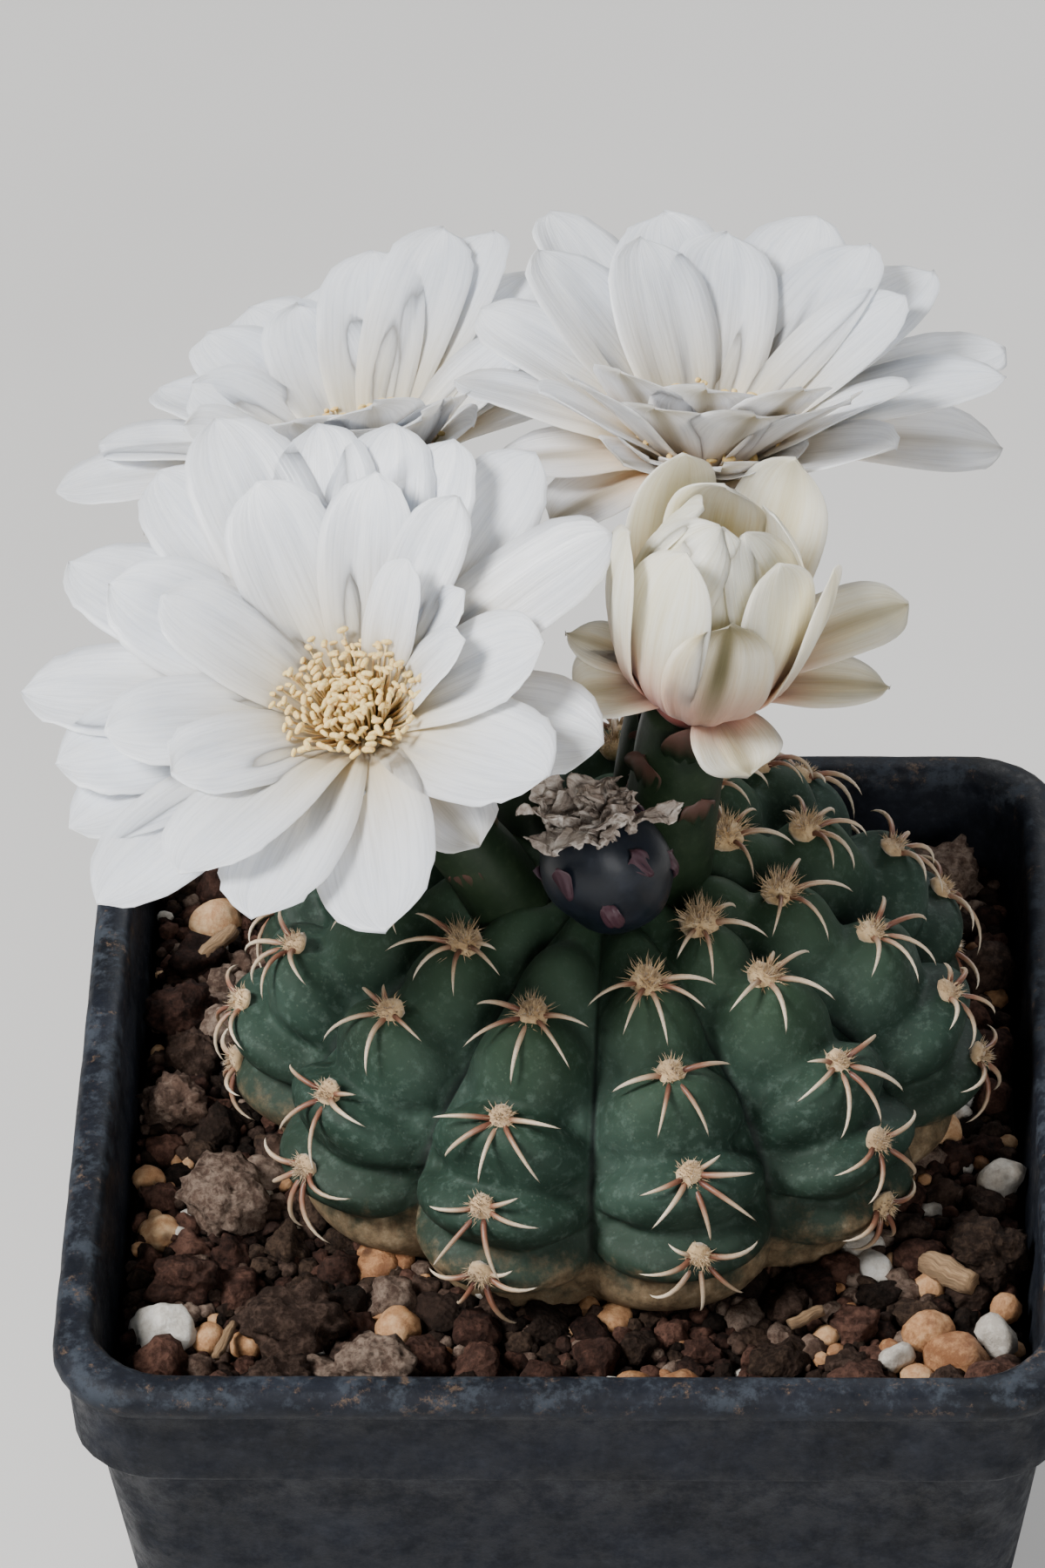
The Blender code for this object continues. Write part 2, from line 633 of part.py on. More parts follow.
def make_dried_flower(group):
    """The crumpled papery flower on the fruit: a folded trumpet with a torn rim."""
    rng = random.Random(11)
    axis, zero, quarter = bloom_frame(FRUIT_AXIS)
    foot = FRUIT_CENTRE + (FRUIT_HALF_LENGTH + CLEARANCE) * axis
    rings = []
    points = 16
    for height, radius, ripple in ((0, 2.2, 0.1), (0.3, 3.6, 0.6), (0.65, 4.6, 1.1), (1, 4.4, 1.3), (0.75, 2.2, 0.8)):
        ring = []
        for i in range(points):
            turn = math.tau * i / points
            fold = radius + ripple * (math.cos(5 * turn) * 0.6 + rng.uniform(-0.4, 0.4))
            rise = height * DRIED_HEIGHT + ripple * rng.uniform(-0.35, 0.35) * MM
            ring.append(foot + rise * axis + fold * MM * (math.cos(turn) * zero + math.sin(turn) * quarter))
        rings.append(ring)
    return add_object("dried_flower", *loft(rings), group, material("dried_petals", STRAW, 0.9))


def make_soil(group):
    """Grit filling the pot: a bumpy bed with stones grown into it and a plain hole for the stem's root."""
    rng = random.Random(7)
    low, rim = POT_FLOOR + CLEARANCE, SOIL_LEVEL
    corner = POT_CORNER
    floor_ring = rounded_square(pot_inner_half(low) - CLEARANCE, corner * 0.6, low)
    top_ring = rounded_square(pot_inner_half(rim) - CLEARANCE, corner * 0.85, rim)
    rings = [floor_ring, top_ring]
    for share in (0.86, 0.72, 0.56):
        rings.append([
            Vector((p.x * share, p.y * share, rim + SOIL_BUMP * (rng.random() - 0.35))) for p in top_ring
        ])
    base = add_object("soil_bed", *loft(rings), group)
    stones = collection("soil_stones")
    reach = pot_inner_half(rim) - 4.2 * MM
    made = 0
    while made < SOIL_STONES:
        x, y = rng.uniform(-reach, reach), rng.uniform(-reach, reach)
        from_stem = math.hypot(x - STEM_CENTRE.x, y - STEM_CENTRE.y)
        if from_stem < STEM_RADIUS - 3 * MM:
            continue
        radius = rng.uniform(*SOIL_STONE_RADII)
        place = Vector((x, y, rim + radius * rng.uniform(0.0, 0.35)))
        bpy.ops.mesh.primitive_ico_sphere_add(subdivisions=1, radius=radius, location=place)
        stone = bpy.context.object
        stone.scale = (rng.uniform(0.8, 1.15), rng.uniform(0.8, 1.15), rng.uniform(0.6, 0.9))
        stone.rotation_euler = (0, 0, rng.uniform(0, math.tau))
        for holder in stone.users_collection:
            holder.objects.unlink(stone)
        stones.objects.link(stone)
        made += 1
    bpy.context.view_layer.update()
    filled = join_all("soil_filled", base, stones, material("grit", EARTH, 0.95), group)
    hole = collection("soil_cutter")
    cutter = root_cutter(hole)
    cut = filled.modifiers.new("hole", "BOOLEAN")
    cut.operation = "DIFFERENCE"
    cut.object = cutter
    cut.solver = "MANIFOLD"
    finish = filled.data.materials[0]
    return baked("soil", filled, hole, finish, group)


def root_cutter(group):
    """The stem's plain turned outline, a little larger, from above the soil down to the root's tip."""
    rings = []
    for k in range(0, 9):
        angle = math.radians(78) + (math.pi - math.radians(78)) * k / 8
        radius, height = stem_profile(angle)
        radius += CHIN_DEPTH + 2 * CLEARANCE
        drop = 1.6 * MM if k == 8 else 0
        turns = [-math.tau * i / 24 for i in range(24)]
        centre = Vector((STEM_CENTRE.x, STEM_CENTRE.y, height - drop))
        rings.append([centre + radius * Vector((math.cos(t), math.sin(t), 0)) for t in turns])
    return add_object("root_cutter", *loft(rings), group)


def main():
    clear_scene()
    group = collection("chin_cactus")
    make_pot(group)
    make_soil(group)
    make_stem(group)
    tube_green = material("tube_green", DARK_GREEN, 0.5)
    petal_white = material("petal_white", WHITE, 0.5)
    stamen_yellow = material("stamen_yellow", YELLOW, 0.6)
    blooms = (
        ("front_bloom", FRONT_BLOOM),
        ("back_bloom", BACK_BLOOM),
        ("tall_bloom", TALL_BLOOM),
        ("opening_bud", OPENING_BUD),
    )
    for name, bloom in blooms:
        make_tube(name + "_tube", bloom, tube_green, group)
        make_petals(name + "_petals", bloom, petal_white, group)
        if bloom["stamens"]:
            make_stamens(name + "_stamens", bloom, stamen_yellow, group)
    make_fruit(group)
    make_dried_flower(group)


main()
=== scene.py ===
"""The looks of a flowering chin cactus in its square nursery pot."""

import math
import random

import bmesh
import bpy
from mathutils import Matrix, Vector, noise


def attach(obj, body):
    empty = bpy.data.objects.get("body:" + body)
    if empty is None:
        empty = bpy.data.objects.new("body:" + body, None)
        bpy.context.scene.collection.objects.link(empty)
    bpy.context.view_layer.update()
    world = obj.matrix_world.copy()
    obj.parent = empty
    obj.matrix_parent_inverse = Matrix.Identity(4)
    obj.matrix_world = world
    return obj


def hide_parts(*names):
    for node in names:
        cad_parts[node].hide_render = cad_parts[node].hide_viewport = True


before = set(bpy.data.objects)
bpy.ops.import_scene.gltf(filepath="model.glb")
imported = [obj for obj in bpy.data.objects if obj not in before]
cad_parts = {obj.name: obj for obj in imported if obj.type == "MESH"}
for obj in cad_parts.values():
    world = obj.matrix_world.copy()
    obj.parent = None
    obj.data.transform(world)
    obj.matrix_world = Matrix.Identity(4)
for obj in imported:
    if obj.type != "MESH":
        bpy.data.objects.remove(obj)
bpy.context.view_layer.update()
MM = 0.001
BODY = "root"
# Degrees between neighbours in a spiral
GOLDEN_ANGLE = 137.5


# Meshes


class Shape:
    """Points and faces of one piece, with a place on the surface and two shares for every point."""

    def __init__(self):
        self.points = []
        self.faces = []
        self.places = []
        self.tones = []
        self.marks = []

    def add(self, points, faces, places=None, tone=0.0, marks=None):
        start = len(self.points)
        self.points.extend(points)
        self.faces.extend(tuple(start + i for i in face) for face in faces)
        self.places.extend(places or [(0.0, 0.0)] * len(points))
        self.tones.extend([tone] * len(points))
        self.marks.extend(marks or [0.0] * len(points))

    def piece(self, name, finish, slot, nodes, smooth_angle=None):
        """Makes the object, which rides on the plant and stands for the CAD nodes named."""
        mesh = bpy.data.meshes.new(name)
        mesh.from_pydata([tuple(p) for p in self.points], [], self.faces)
        mesh.update()
        layer = mesh.uv_layers.new(name="place")
        for loop in mesh.loops:
            layer.data[loop.index].uv = self.places[loop.vertex_index]
        for share, values in (("tone", self.tones), ("mark", self.marks)):
            mesh.attributes.new(share, "FLOAT", "POINT").data.foreach_set("value", values)
        mesh.shade_smooth()
        if smooth_angle is not None:
            mesh.set_sharp_from_angle(angle=math.radians(smooth_angle))
        mesh.materials.append(finish)
        obj = bpy.data.objects.new(name, mesh)
        bpy.context.scene.collection.objects.link(obj)
        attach(obj, BODY)
        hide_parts(*nodes)


def mm(*place):
    """A place given in millimetres."""
    return Vector(place) * MM


def turned(angle, start, side):
    """The direction at an angle from start towards side."""
    return math.cos(angle) * start + math.sin(angle) * side


def random_vector(rng, reach):
    return Vector([rng.uniform(-reach, reach) for _ in range(3)])


def square_to(direction, hint=Vector((0, 0, 1))):
    """A unit vector square to direction."""
    side = direction.cross(hint)
    if side.length < 1e-6:
        side = direction.cross(Vector((1, 0, 0)))
    return side.normalized()


def tube(path, radii, sides):
    """Points, faces and places of a closed tube along path. A radius of 0 at an end makes a tip."""
    points, faces, places = [], [], []
    last = len(path) - 1
    side = square_to((path[1] - path[0]).normalized())
    starts = []
    for i, (point, radius) in enumerate(zip(path, radii)):
        direction = (path[min(i + 1, last)] - path[max(i - 1, 0)]).normalized()
        side = (side - side.dot(direction) * direction).normalized()
        up = side.cross(direction)
        starts.append(len(points))
        if radius == 0:
            points.append(point)
            places.append((0.5, i / last))
            continue
        for k in range(sides):
            turn = math.tau * k / sides
            points.append(point + radius * (math.cos(turn) * side - math.sin(turn) * up))
            places.append((k / sides, i / last))
    for i in range(last):
        a, b = starts[i], starts[i + 1]
        for k in range(sides):
            n = (k + 1) % sides
            if radii[i + 1] == 0:
                faces.append((a + k, a + n, b))
            elif radii[i] == 0:
                faces.append((a, b + n, b + k))
            else:
                faces.append((a + k, a + n, b + n, b + k))
    if radii[0]:
        faces.append(tuple(reversed(range(sides))))
    if radii[-1]:
        faces.append(tuple(range(starts[-1], starts[-1] + sides)))
    return points, faces, places


def skin(rings):
    """Points, faces and places of a skin over rings of equal count, closed by caps."""
    points, faces, places = [], [], []
    count, last = len(rings[0]), len(rings) - 1
    for row, ring in enumerate(rings):
        points.extend(ring)
        places.extend((i / count, row / last) for i in range(count))
    for row in range(last):
        for i in range(count):
            a, b = row * count + i, row * count + (i + 1) % count
            faces.append((a, b, b + count, a + count))
    faces.append(tuple(reversed(range(count))))
    faces.append(tuple(range(last * count, (last + 1) * count)))
    return points, faces, places


def ball(detail):
    """Points and faces of a unit icosphere."""
    body = bmesh.new()
    bmesh.ops.create_icosphere(body, subdivisions=detail, radius=1)
    body.verts.ensure_lookup_table()
    points = [v.co.copy() for v in body.verts]
    faces = [tuple(v.index for v in face.verts) for face in body.faces]
    body.free()
    return points, faces


# Materials


# How far red, green and blue light spread in a petal, as shares of the distance
PETAL_SCATTERING = (1.0, 0.9, 0.75)
# Stones rougher than this shine less
DULL_ROUGHNESS = 0.8


class Finish:
    """A node material that is built up step by step, with its colour so far in body."""

    def __init__(self, name, roughness, **values):
        self.material = bpy.data.materials.new(name)
        self.material.use_nodes = True
        self.tree = self.material.node_tree
        self.shader = self.tree.nodes["Principled BSDF"]
        self.feed(self.shader, Roughness=roughness, **values)
        coordinates = self.node("TexCoord")
        self.place = coordinates.outputs["Object"]
        self.surface = coordinates.outputs["UV"]
        self.body = None

    def put(self, socket, value):
        """Links the socket to another node's output, or sets it to a number or colour."""
        if isinstance(value, bpy.types.NodeSocket):
            self.tree.links.new(value, socket)
        elif isinstance(value, tuple) and len(socket.default_value) > len(value):
            socket.default_value = (*value, 1)
        else:
            socket.default_value = value

    def feed(self, node, **inputs):
        for name, value in inputs.items():
            self.put(node.inputs[name.replace("_", " ")], value)

    def node(self, kind, **inputs):
        node = self.tree.nodes.new("ShaderNode" + kind)
        self.feed(node, **inputs)
        return node

    def share(self, name):
        """A share that the mesh carries at every point."""
        node = self.node("Attribute")
        node.attribute_name = name
        return node.outputs["Fac"]

    def axis(self, places, letter):
        return self.node("SeparateXYZ", Vector=places).outputs[letter]

    def noise(self, scale, detail=4.0, roughness=0.55, distortion=0.0, places=None):
        inputs = {"Scale": scale, "Detail": detail, "Roughness": roughness, "Distortion": distortion}
        return self.node("TexNoise", Vector=places or self.place, **inputs).outputs["Fac"]

    def streaks(self, across, along, detail, roughness):
        """Noise on the surface, with so many streaks across it and along it."""
        stretched = self.node("Mapping", Vector=self.surface, Scale=(across, along, 1.0))
        return self.noise(1.0, detail, roughness, places=stretched.outputs["Vector"])

    def cells(self, scale):
        return self.node("TexVoronoi", Vector=self.place, Scale=scale).outputs["Distance"]

    def fit(self, value, low, high, start=0.0, end=1.0):
        """value from low..high eased to start..end and held there."""
        node = self.node("MapRange", Value=value, From_Min=low, From_Max=high, To_Min=start, To_Max=end)
        node.interpolation_type = "SMOOTHSTEP"
        return node.outputs["Result"]

    def maths(self, kind, a, b=0.0):
        node = self.node("Math")
        node.operation = kind
        self.put(node.inputs[0], a)
        self.put(node.inputs[1], b)
        return node.outputs["Value"]

    def product(self, value, *factors):
        for factor in factors:
            value = self.maths("MULTIPLY", value, factor)
        return value

    def ramp(self, value, *stops):
        """Colours at places along a value: (place, colour), ..."""
        node = self.node("ValToRGB", Fac=value)
        elements = node.color_ramp.elements
        while len(elements) < len(stops):
            elements.new(0.5)
        for element, (place, colour) in zip(elements, stops):
            element.position = place
            element.color = (*colour, 1)
        return node.outputs["Color"]

    def cover(self, share, colour):
        """Lays that share of a colour over the body."""
        node = self.node("Mix")
        node.data_type = "RGBA"
        for socket, value in ((0, share), (6, self.body), (7, colour)):
            self.put(node.inputs[socket], value)
        self.body = node.outputs[2]

    def tint(self, colour, value, low, high, most=1.0):
        """Lays a colour over the body where value passes from low to high."""
        self.cover(self.fit(value, low, high, 0.0, most), colour)

    def done(self, *bumps, roughness=None):
        """The material, with its bumps on top of each other: (height, distance in mm, strength), ..."""
        self.feed(self.shader, Base_Color=self.body)
        if roughness is not None:
            self.feed(self.shader, Roughness=roughness)
        normal = {}
        for height, distance, strength in bumps:
            node = self.node("Bump", Height=height, Distance=distance * MM, Strength=strength, **normal)
            normal = {"Normal": node.outputs["Normal"]}
        self.feed(self.shader, **normal)
        return self.material


def petal_finish(name, light, shade, throat, back, tip, throat_end):
    """Silky petals: fine lengthwise veins, a tinted throat, and a darker rib and tip on outer backs."""
    finish = Finish(name, 0.42, Subsurface_Weight=0.7, Subsurface_Scale=1.4 * MM, Sheen_Weight=0.12)
    finish.feed(finish.shader, Subsurface_Radius=PETAL_SCATTERING)
    along = finish.axis(finish.surface, "Y")
    from_middle = finish.maths("ABSOLUTE", finish.maths("SUBTRACT", finish.axis(finish.surface, "X"), 0.5))
    outer = finish.share("mark")
    veins = finish.streaks(26.0, 2.2, 3.0, 0.6)
    broad = finish.streaks(7.0, 1.6, 2.0, 0.5)
    finish.body = light
    finish.tint(shade, veins, 0.42, 0.7, 0.55)
    finish.tint(shade, broad, 0.45, 0.75, 0.35)
    finish.tint(shade, finish.noise(160.0, 3.0), 0.5, 0.8, 0.12)
    finish.tint(throat, along, throat_end, 0.04, 0.9)
    finish.cover(finish.product(outer, finish.fit(along, 0.95, 0.15, 0.2, 1.0)), back)
    rib = finish.fit(from_middle, 0.2, 0.02)
    finish.cover(finish.product(rib, outer, finish.fit(along, 0.1, 0.75, 0.3, 1.0)), tip)
    finish.cover(finish.product(finish.fit(along, 0.82, 1.0), finish.product(outer, 0.9)), tip)
    gloss = finish.fit(broad, 0.3, 0.8, 0.36, 0.52)
    return finish.done((veins, 0.12, 0.55), (broad, 0.3, 0.35), roughness=gloss)


def petal_white():
    return petal_finish(
        "petal_white", light=(0.89, 0.935, 1.0), shade=(0.52, 0.56, 0.63), throat=(0.62, 0.49, 0.27),
        back=(0.8, 0.61, 0.46), tip=(0.16, 0.13, 0.06), throat_end=0.88,
    )


def petal_cream():
    return petal_finish(
        "petal_cream", light=(0.95, 0.9, 0.7), shade=(0.78, 0.67, 0.42), throat=(0.28, 0.015, 0.02),
        back=(0.38, 0.21, 0.155), tip=(0.1, 0.085, 0.03), throat_end=0.72,
    )


def stem_finish():
    """Dull blue-green skin with fine pores, painted shade in its creases and notches, and a corky tan foot.
    """
    finish = Finish("stem_skin", 0.7, Specular_IOR_Level=0.22, Subsurface_Weight=0.05, Subsurface_Scale=MM)
    height = finish.axis(finish.place, "Z")
    patches = finish.noise(55.0, 5.0, 0.6)
    pores = finish.noise(1000.0, 4.0, 0.7)
    finish.body = finish.ramp(
        patches, (0.25, (0.008, 0.02, 0.013)), (0.5, (0.018, 0.04, 0.028)), (0.78, (0.052, 0.084, 0.067))
    )
    finish.tint((0.08, 0.12, 0.1), pores, 0.48, 0.75, 0.6)
    finish.tint((0.14, 0.17, 0.14), finish.cells(1300.0), 0.18, 0.05, 0.25)
    # Painted shade in the creases and notches, from the mark the skin carries
    finish.tint((0.004, 0.009, 0.008), finish.share("mark"), 0.35, 1.0, 0.9)
    # Painted highlight: greener and lighter towards the crown
    finish.tint((0.035, 0.068, 0.03), height, 88 * MM, 99 * MM, 0.5)
    # Darker and browner towards the foot
    finish.tint((0.016, 0.022, 0.013), height, 88 * MM, 76 * MM, 0.6)
    cork = finish.ramp(
        finish.noise(700.0, 5.0, 0.7),
        (0.3, (0.07, 0.045, 0.025)), (0.55, (0.2, 0.14, 0.08)), (0.8, (0.38, 0.3, 0.2)),
    )
    raggedness = finish.fit(finish.noise(240.0, 6.0, 0.7), 0.2, 0.8, -3.6 * MM, 3.6 * MM)
    finish.tint(cork, finish.maths("ADD", height, raggedness), 79.5 * MM, 73.5 * MM, 0.92)
    return finish.done(
        (patches, 0.8, 0.25), (pores, 0.12, 0.5), (finish.noise(330.0, 4.0), 0.3, 0.3),
        roughness=finish.fit(patches, 0.3, 0.7, 0.6, 0.8),
    )


def spine_finish():
    """Horn: reddish brown at the foot, straw to ivory further out, with fine growth lines."""
    finish = Finish("spine_horn", 0.45)
    lines = finish.streaks(3.0, 40.0, 3.0, 0.6)
    age = finish.fit(finish.share("tone"), 0.0, 1.0, -0.12, 0.16)
    finish.body = finish.ramp(
        finish.maths("ADD", finish.axis(finish.surface, "Y"), age),
        (0.04, (0.08, 0.022, 0.015)), (0.3, (0.22, 0.1, 0.06)),
        (0.55, (0.47, 0.35, 0.23)), (0.9, (0.7, 0.6, 0.46)),
    )
    finish.tint((0.25, 0.12, 0.07), lines, 0.45, 0.75, 0.4)
    return finish.done((lines, 0.05, 0.5))


def wool_finish():
    """Tan felt, greyer with age."""
    finish = Finish("areole_wool", 0.95, Specular_IOR_Level=0.15, Sheen_Weight=0.4)
    tufts = finish.noise(900.0, 5.0, 0.7)
    finish.body = finish.ramp(
        tufts, (0.3, (0.3, 0.18, 0.08)), (0.55, (0.62, 0.44, 0.24)), (0.8, (0.88, 0.74, 0.5))
    )
    finish.tint((0.4, 0.28, 0.17), finish.share("tone"), 0.2, 1.0, 0.6)
    return finish.done((tufts, 0.3, 0.8))


def tube_finish():
    """Dark green flower tube and scales with reddish margins."""
    finish = Finish("tube_skin", 0.42, Specular_IOR_Level=0.25)
    patches = finish.noise(180.0, 4.0)
    fine = finish.noise(1400.0, 3.0)
    finish.body = finish.ramp(
        patches, (0.3, (0.008, 0.018, 0.009)), (0.6, (0.018, 0.034, 0.016)), (0.85, (0.04, 0.055, 0.028))
    )
    margin = finish.fit(finish.axis(finish.surface, "Y"), 0.35, 0.95)
    finish.cover(finish.product(finish.share("mark"), margin), (0.11, 0.05, 0.04))
    finish.tint((0.05, 0.07, 0.04), fine, 0.5, 0.8, 0.3)
    gloss = finish.fit(patches, 0.3, 0.8, 0.4, 0.6)
    return finish.done((fine, 0.08, 0.5), (patches, 0.4, 0.3), roughness=gloss)


def fruit_finish():
    """Blue-black berry with a waxy bloom and purple scales."""
    finish = Finish("berry_skin", 0.3, Specular_IOR_Level=0.35, Coat_Weight=0.1, Coat_Roughness=0.25)
    wax = finish.noise(260.0, 5.0, 0.6)
    finish.body = finish.ramp(
        wax, (0.3, (0.003, 0.005, 0.009)), (0.55, (0.007, 0.011, 0.019)), (0.85, (0.028, 0.035, 0.055))
    )
    finish.cover(finish.product(finish.share("mark"), 0.85), (0.1, 0.04, 0.055))
    gloss = finish.fit(wax, 0.35, 0.75, 0.36, 0.6)
    return finish.done((wax, 0.2, 0.35), (finish.noise(1500.0), 0.06, 0.4), roughness=gloss)


def papery_finish():
    """Withered petals: brown-grey paper with dark folds."""
    finish = Finish("withered_paper", 0.9, Specular_IOR_Level=0.15)
    folds = finish.noise(420.0, 6.0, 0.7, 1.2)
    fibres = finish.streaks(22.0, 3.0, 4.0, 0.7)
    finish.body = finish.ramp(
        folds, (0.34, (0.07, 0.05, 0.042)), (0.5, (0.44, 0.37, 0.32)), (0.68, (0.88, 0.83, 0.77))
    )
    finish.tint((0.62, 0.54, 0.45), fibres, 0.45, 0.8, 0.55)
    return finish.done((folds, 0.6, 0.6), (fibres, 0.2, 0.6))


def stamen_finish():
    """Cream filaments that darken to the throat, with powdery yellow anthers."""
    finish = Finish("stamen", 0.7, Subsurface_Weight=0.15, Subsurface_Scale=0.5 * MM)
    dust = finish.noise(3200.0, 4.0, 0.7)
    finish.body = finish.ramp(
        finish.axis(finish.surface, "Y"),
        (0.0, (0.26, 0.13, 0.04)), (0.5, (0.66, 0.47, 0.2)), (1.0, (0.86, 0.72, 0.42)),
    )
    anther = finish.ramp(
        dust, (0.3, (0.68, 0.44, 0.13)), (0.6, (0.88, 0.68, 0.31)), (0.85, (0.95, 0.83, 0.52))
    )
    finish.cover(finish.share("mark"), anther)
    return finish.done((dust, 0.12, 0.8))


def stone_finish(name, kind):
    """Grit of one kind: mottled colour with blotches, and pores of its own size with painted shade in them.
    """
    dark, middle, light, blotches = kind["colours"]
    dull = kind["dullness"]
    finish = Finish(name, dull, Specular_IOR_Level=0.12 if dull > DULL_ROUGHNESS else 0.4)
    grain = finish.noise(900.0, 8.0, 0.75)
    mottle = finish.fit(grain, 0.25, 0.75, 0.0, 0.75)
    own_tone = finish.fit(finish.share("tone"), 0, 1, -0.2, 0.35)
    tone = finish.maths("ADD", mottle, own_tone)
    finish.body = finish.ramp(tone, (0.1, dark), (0.5, middle), (0.95, light))
    finish.tint(blotches, finish.noise(190.0, 3.0), 0.5, 0.75, 0.4)
    pores = finish.cells(kind["pores"])
    # Painted shade in the pores
    finish.tint((0.02, 0.013, 0.01), pores, 0.26, 0.08, 0.55)
    return finish.done((pores, 0.7, 0.5), (grain, 0.5, 0.8))


def bark_finish():
    """Brown wood with pale fibres."""
    finish = Finish("bark", 0.9)
    fibres = finish.streaks(24.0, 2.0, 5.0, 0.7)
    finish.body = finish.ramp(
        fibres, (0.3, (0.1, 0.055, 0.03)), (0.55, (0.3, 0.19, 0.1)), (0.8, (0.5, 0.38, 0.24))
    )
    return finish.done((fibres, 0.5, 0.8))


def pot_finish():
    """Weathered black plastic: blue-grey scuffs, lime and dried mud along the lip."""
    finish = Finish("pot_plastic", 0.55, Specular_IOR_Level=0.17)
    fine = finish.noise(1100.0, 4.0, 0.6)
    dust = finish.noise(300.0, 7.0, 0.75)
    finish.body = finish.ramp(
        finish.noise(90.0, 6.0, 0.65),
        (0.3, (0.004, 0.005, 0.007)), (0.6, (0.009, 0.011, 0.017)), (0.85, (0.026, 0.032, 0.045)),
    )
    finish.tint((0.04, 0.048, 0.066), fine, 0.45, 0.8, 0.2)
    lip = finish.fit(finish.axis(finish.place, "Z"), 76.5 * MM, 79.6 * MM)
    finish.cover(finish.product(lip, finish.fit(dust, 0.47, 0.62), 0.2), (0.13, 0.16, 0.2))
    mud = finish.fit(finish.noise(520.0, 7.0, 0.8), 0.56, 0.68)
    finish.cover(finish.product(lip, mud, 0.7), (0.13, 0.085, 0.055))
    gloss = finish.fit(dust, 0.35, 0.7, 0.42, 0.85)
    return finish.done((fine, 0.05, 0.5), (dust, 0.3, 0.35), roughness=gloss)


# Stem


STEM_CENTRE = mm(2.8, 5.0, 80.5)
STEM_RADIUS = 33.5 * MM
STEM_HALF_HEIGHT = 19 * MM
STEM_RIBS = 11
STEM_FRONT_GROOVE = math.radians(-92)
GROOVE_DEPTH = 3.4 * MM
GROOVE_POWER_CROWN = 1.8
GROOVE_POWER_SIDE = 3.4
GROOVE_SWAY = 0.05
CREASE_DEPTH = 0.9 * MM
CREASE_WIDTH = 0.07
NOTCH_DEPTH = 0.4 * MM
NOTCH_LENGTH = 0.1
# Painted shade in a notch, as a share of that in a crease
NOTCH_PAINTED_SHADE = 0.55
CHIN_DEPTH = 2.5 * MM
CHIN_PINCH = 0.45
# How many degrees a chin's fold lies above its areole
CHIN_LEAD = 4
CROWN_DIP = 2.6 * MM
CROWN_DIP_ANGLE = 0.33
SKIN_UNEVENNESS = 0.35 * MM
ROOT_START = math.radians(117)
# Angles down from the crown, in degrees, on most ribs and on the low ones
AREOLE_ANGLES = (15, 28, 46, 67, 88)
AREOLE_LOW_ANGLES = (20, 35, 56, 76, 96)
AREOLE_LOW_RIBS = (1, 3, 5, 8, 10)
TUBE_CLEARING = 5.4 * MM
# The skin's grid
SKIN_COLUMNS_PER_RIB = 24
SKIN_ROWS = 130
SKIN_TOP = 0.01
SKIN_BOTTOM = math.radians(136)

# Fibres on an old areole, and how many more there are on a young one
FIBRES = 95
FIBRES_MORE = 115
# Bundles of spines, as degrees from straight down
SPINES_YOUNG = [-78, -28, 30, 80]
SPINES_FOUR = [-86, -30, 24, 86]
SPINES_FIVE = [-84, -40, 2, 42, 86]
SPINE_BACKWARD = 118
SPINE_YOUNG_ANGLE = 26
SPINE_STEPS = 9
# Where a spine may run: above the lip, or inside the pot and above the grit
ABOVE_LIP = 80.5 * MM
ABOVE_GRIT = 72.5 * MM
INSIDE_POT = 41 * MM


def areole_angles(rib):
    return AREOLE_LOW_ANGLES if rib in AREOLE_LOW_RIBS else AREOLE_ANGLES


def chin_phase(angle, rows):
    """How far an angle has come from one areole's chin to the next, from 0 to 1."""
    steps = [low - high for high, low in zip(rows, rows[1:])]
    edges = [rows[0] - steps[0], *rows, rows[-1] + steps[-1], rows[-1] + 2 * steps[-1]]
    for high, low in zip(edges, edges[1:]):
        if high <= angle < low:
            return (angle - high) / (low - high)
    return 0


def stem_point(azimuth, angle):
    """A point on the ribbed skin, and how much painted shade it gets in a crease or notch, from 0 to 1."""
    turn = (azimuth - STEM_FRONT_GROOVE) / math.tau * STEM_RIBS
    rib = math.floor(turn) % STEM_RIBS
    across = abs(2 * (turn - math.floor(turn)) - 1)
    steep = math.sin(min(angle, math.pi / 2))
    fade = min(1, steep * 1.6) * max(0, min(1, (ROOT_START + 0.25 - angle) / 0.7))
    phase = chin_phase(math.degrees(angle) + CHIN_LEAD, areole_angles(rib))
    chin = CHIN_DEPTH * (0.5 - 0.5 * math.cos(math.tau * phase ** 0.75)) * (1 - across ** 2) ** 1.3
    sway = GROOVE_SWAY * math.sin(5 * angle + 2.3 * rib)
    pinch = CHIN_PINCH * (0.5 + 0.5 * math.cos(math.tau * phase)) ** 2
    power = GROOVE_POWER_CROWN + (GROOVE_POWER_SIDE - GROOVE_POWER_CROWN) * steep
    depth = GROOVE_DEPTH * min(1, abs(across + sway * (1 - across)) * (1 + pinch)) ** power
    crease = math.exp(-(((1 - across) / CREASE_WIDTH) ** 2))
    notch = math.exp(-((min(phase, 1 - phase) / NOTCH_LENGTH) ** 2)) * max(0, 1 - 1.5 * across) ** 0.8
    out = (chin - depth - 0.4 * CHIN_DEPTH - CREASE_DEPTH * crease - NOTCH_DEPTH * notch) * fade
    dip = CROWN_DIP * math.exp(-((angle / CROWN_DIP_ANGLE) ** 2))
    normal = Vector((math.sin(angle) / STEM_RADIUS, math.cos(angle) / STEM_HALF_HEIGHT)).normalized()
    radius = STEM_RADIUS * math.sin(angle) + out * normal.x
    height = STEM_CENTRE.z + STEM_HALF_HEIGHT * math.cos(angle) - dip + out * normal.y
    east, north = math.cos(azimuth), math.sin(azimuth)
    place = Vector((STEM_CENTRE.x + radius * east, STEM_CENTRE.y + radius * north, height))
    place += SKIN_UNEVENNESS * noise.noise(place * 160) * Vector((east, north, 0.5)) * fade
    # The second value is the painted shade in creases and notches
    return place, max(crease, NOTCH_PAINTED_SHADE * notch)


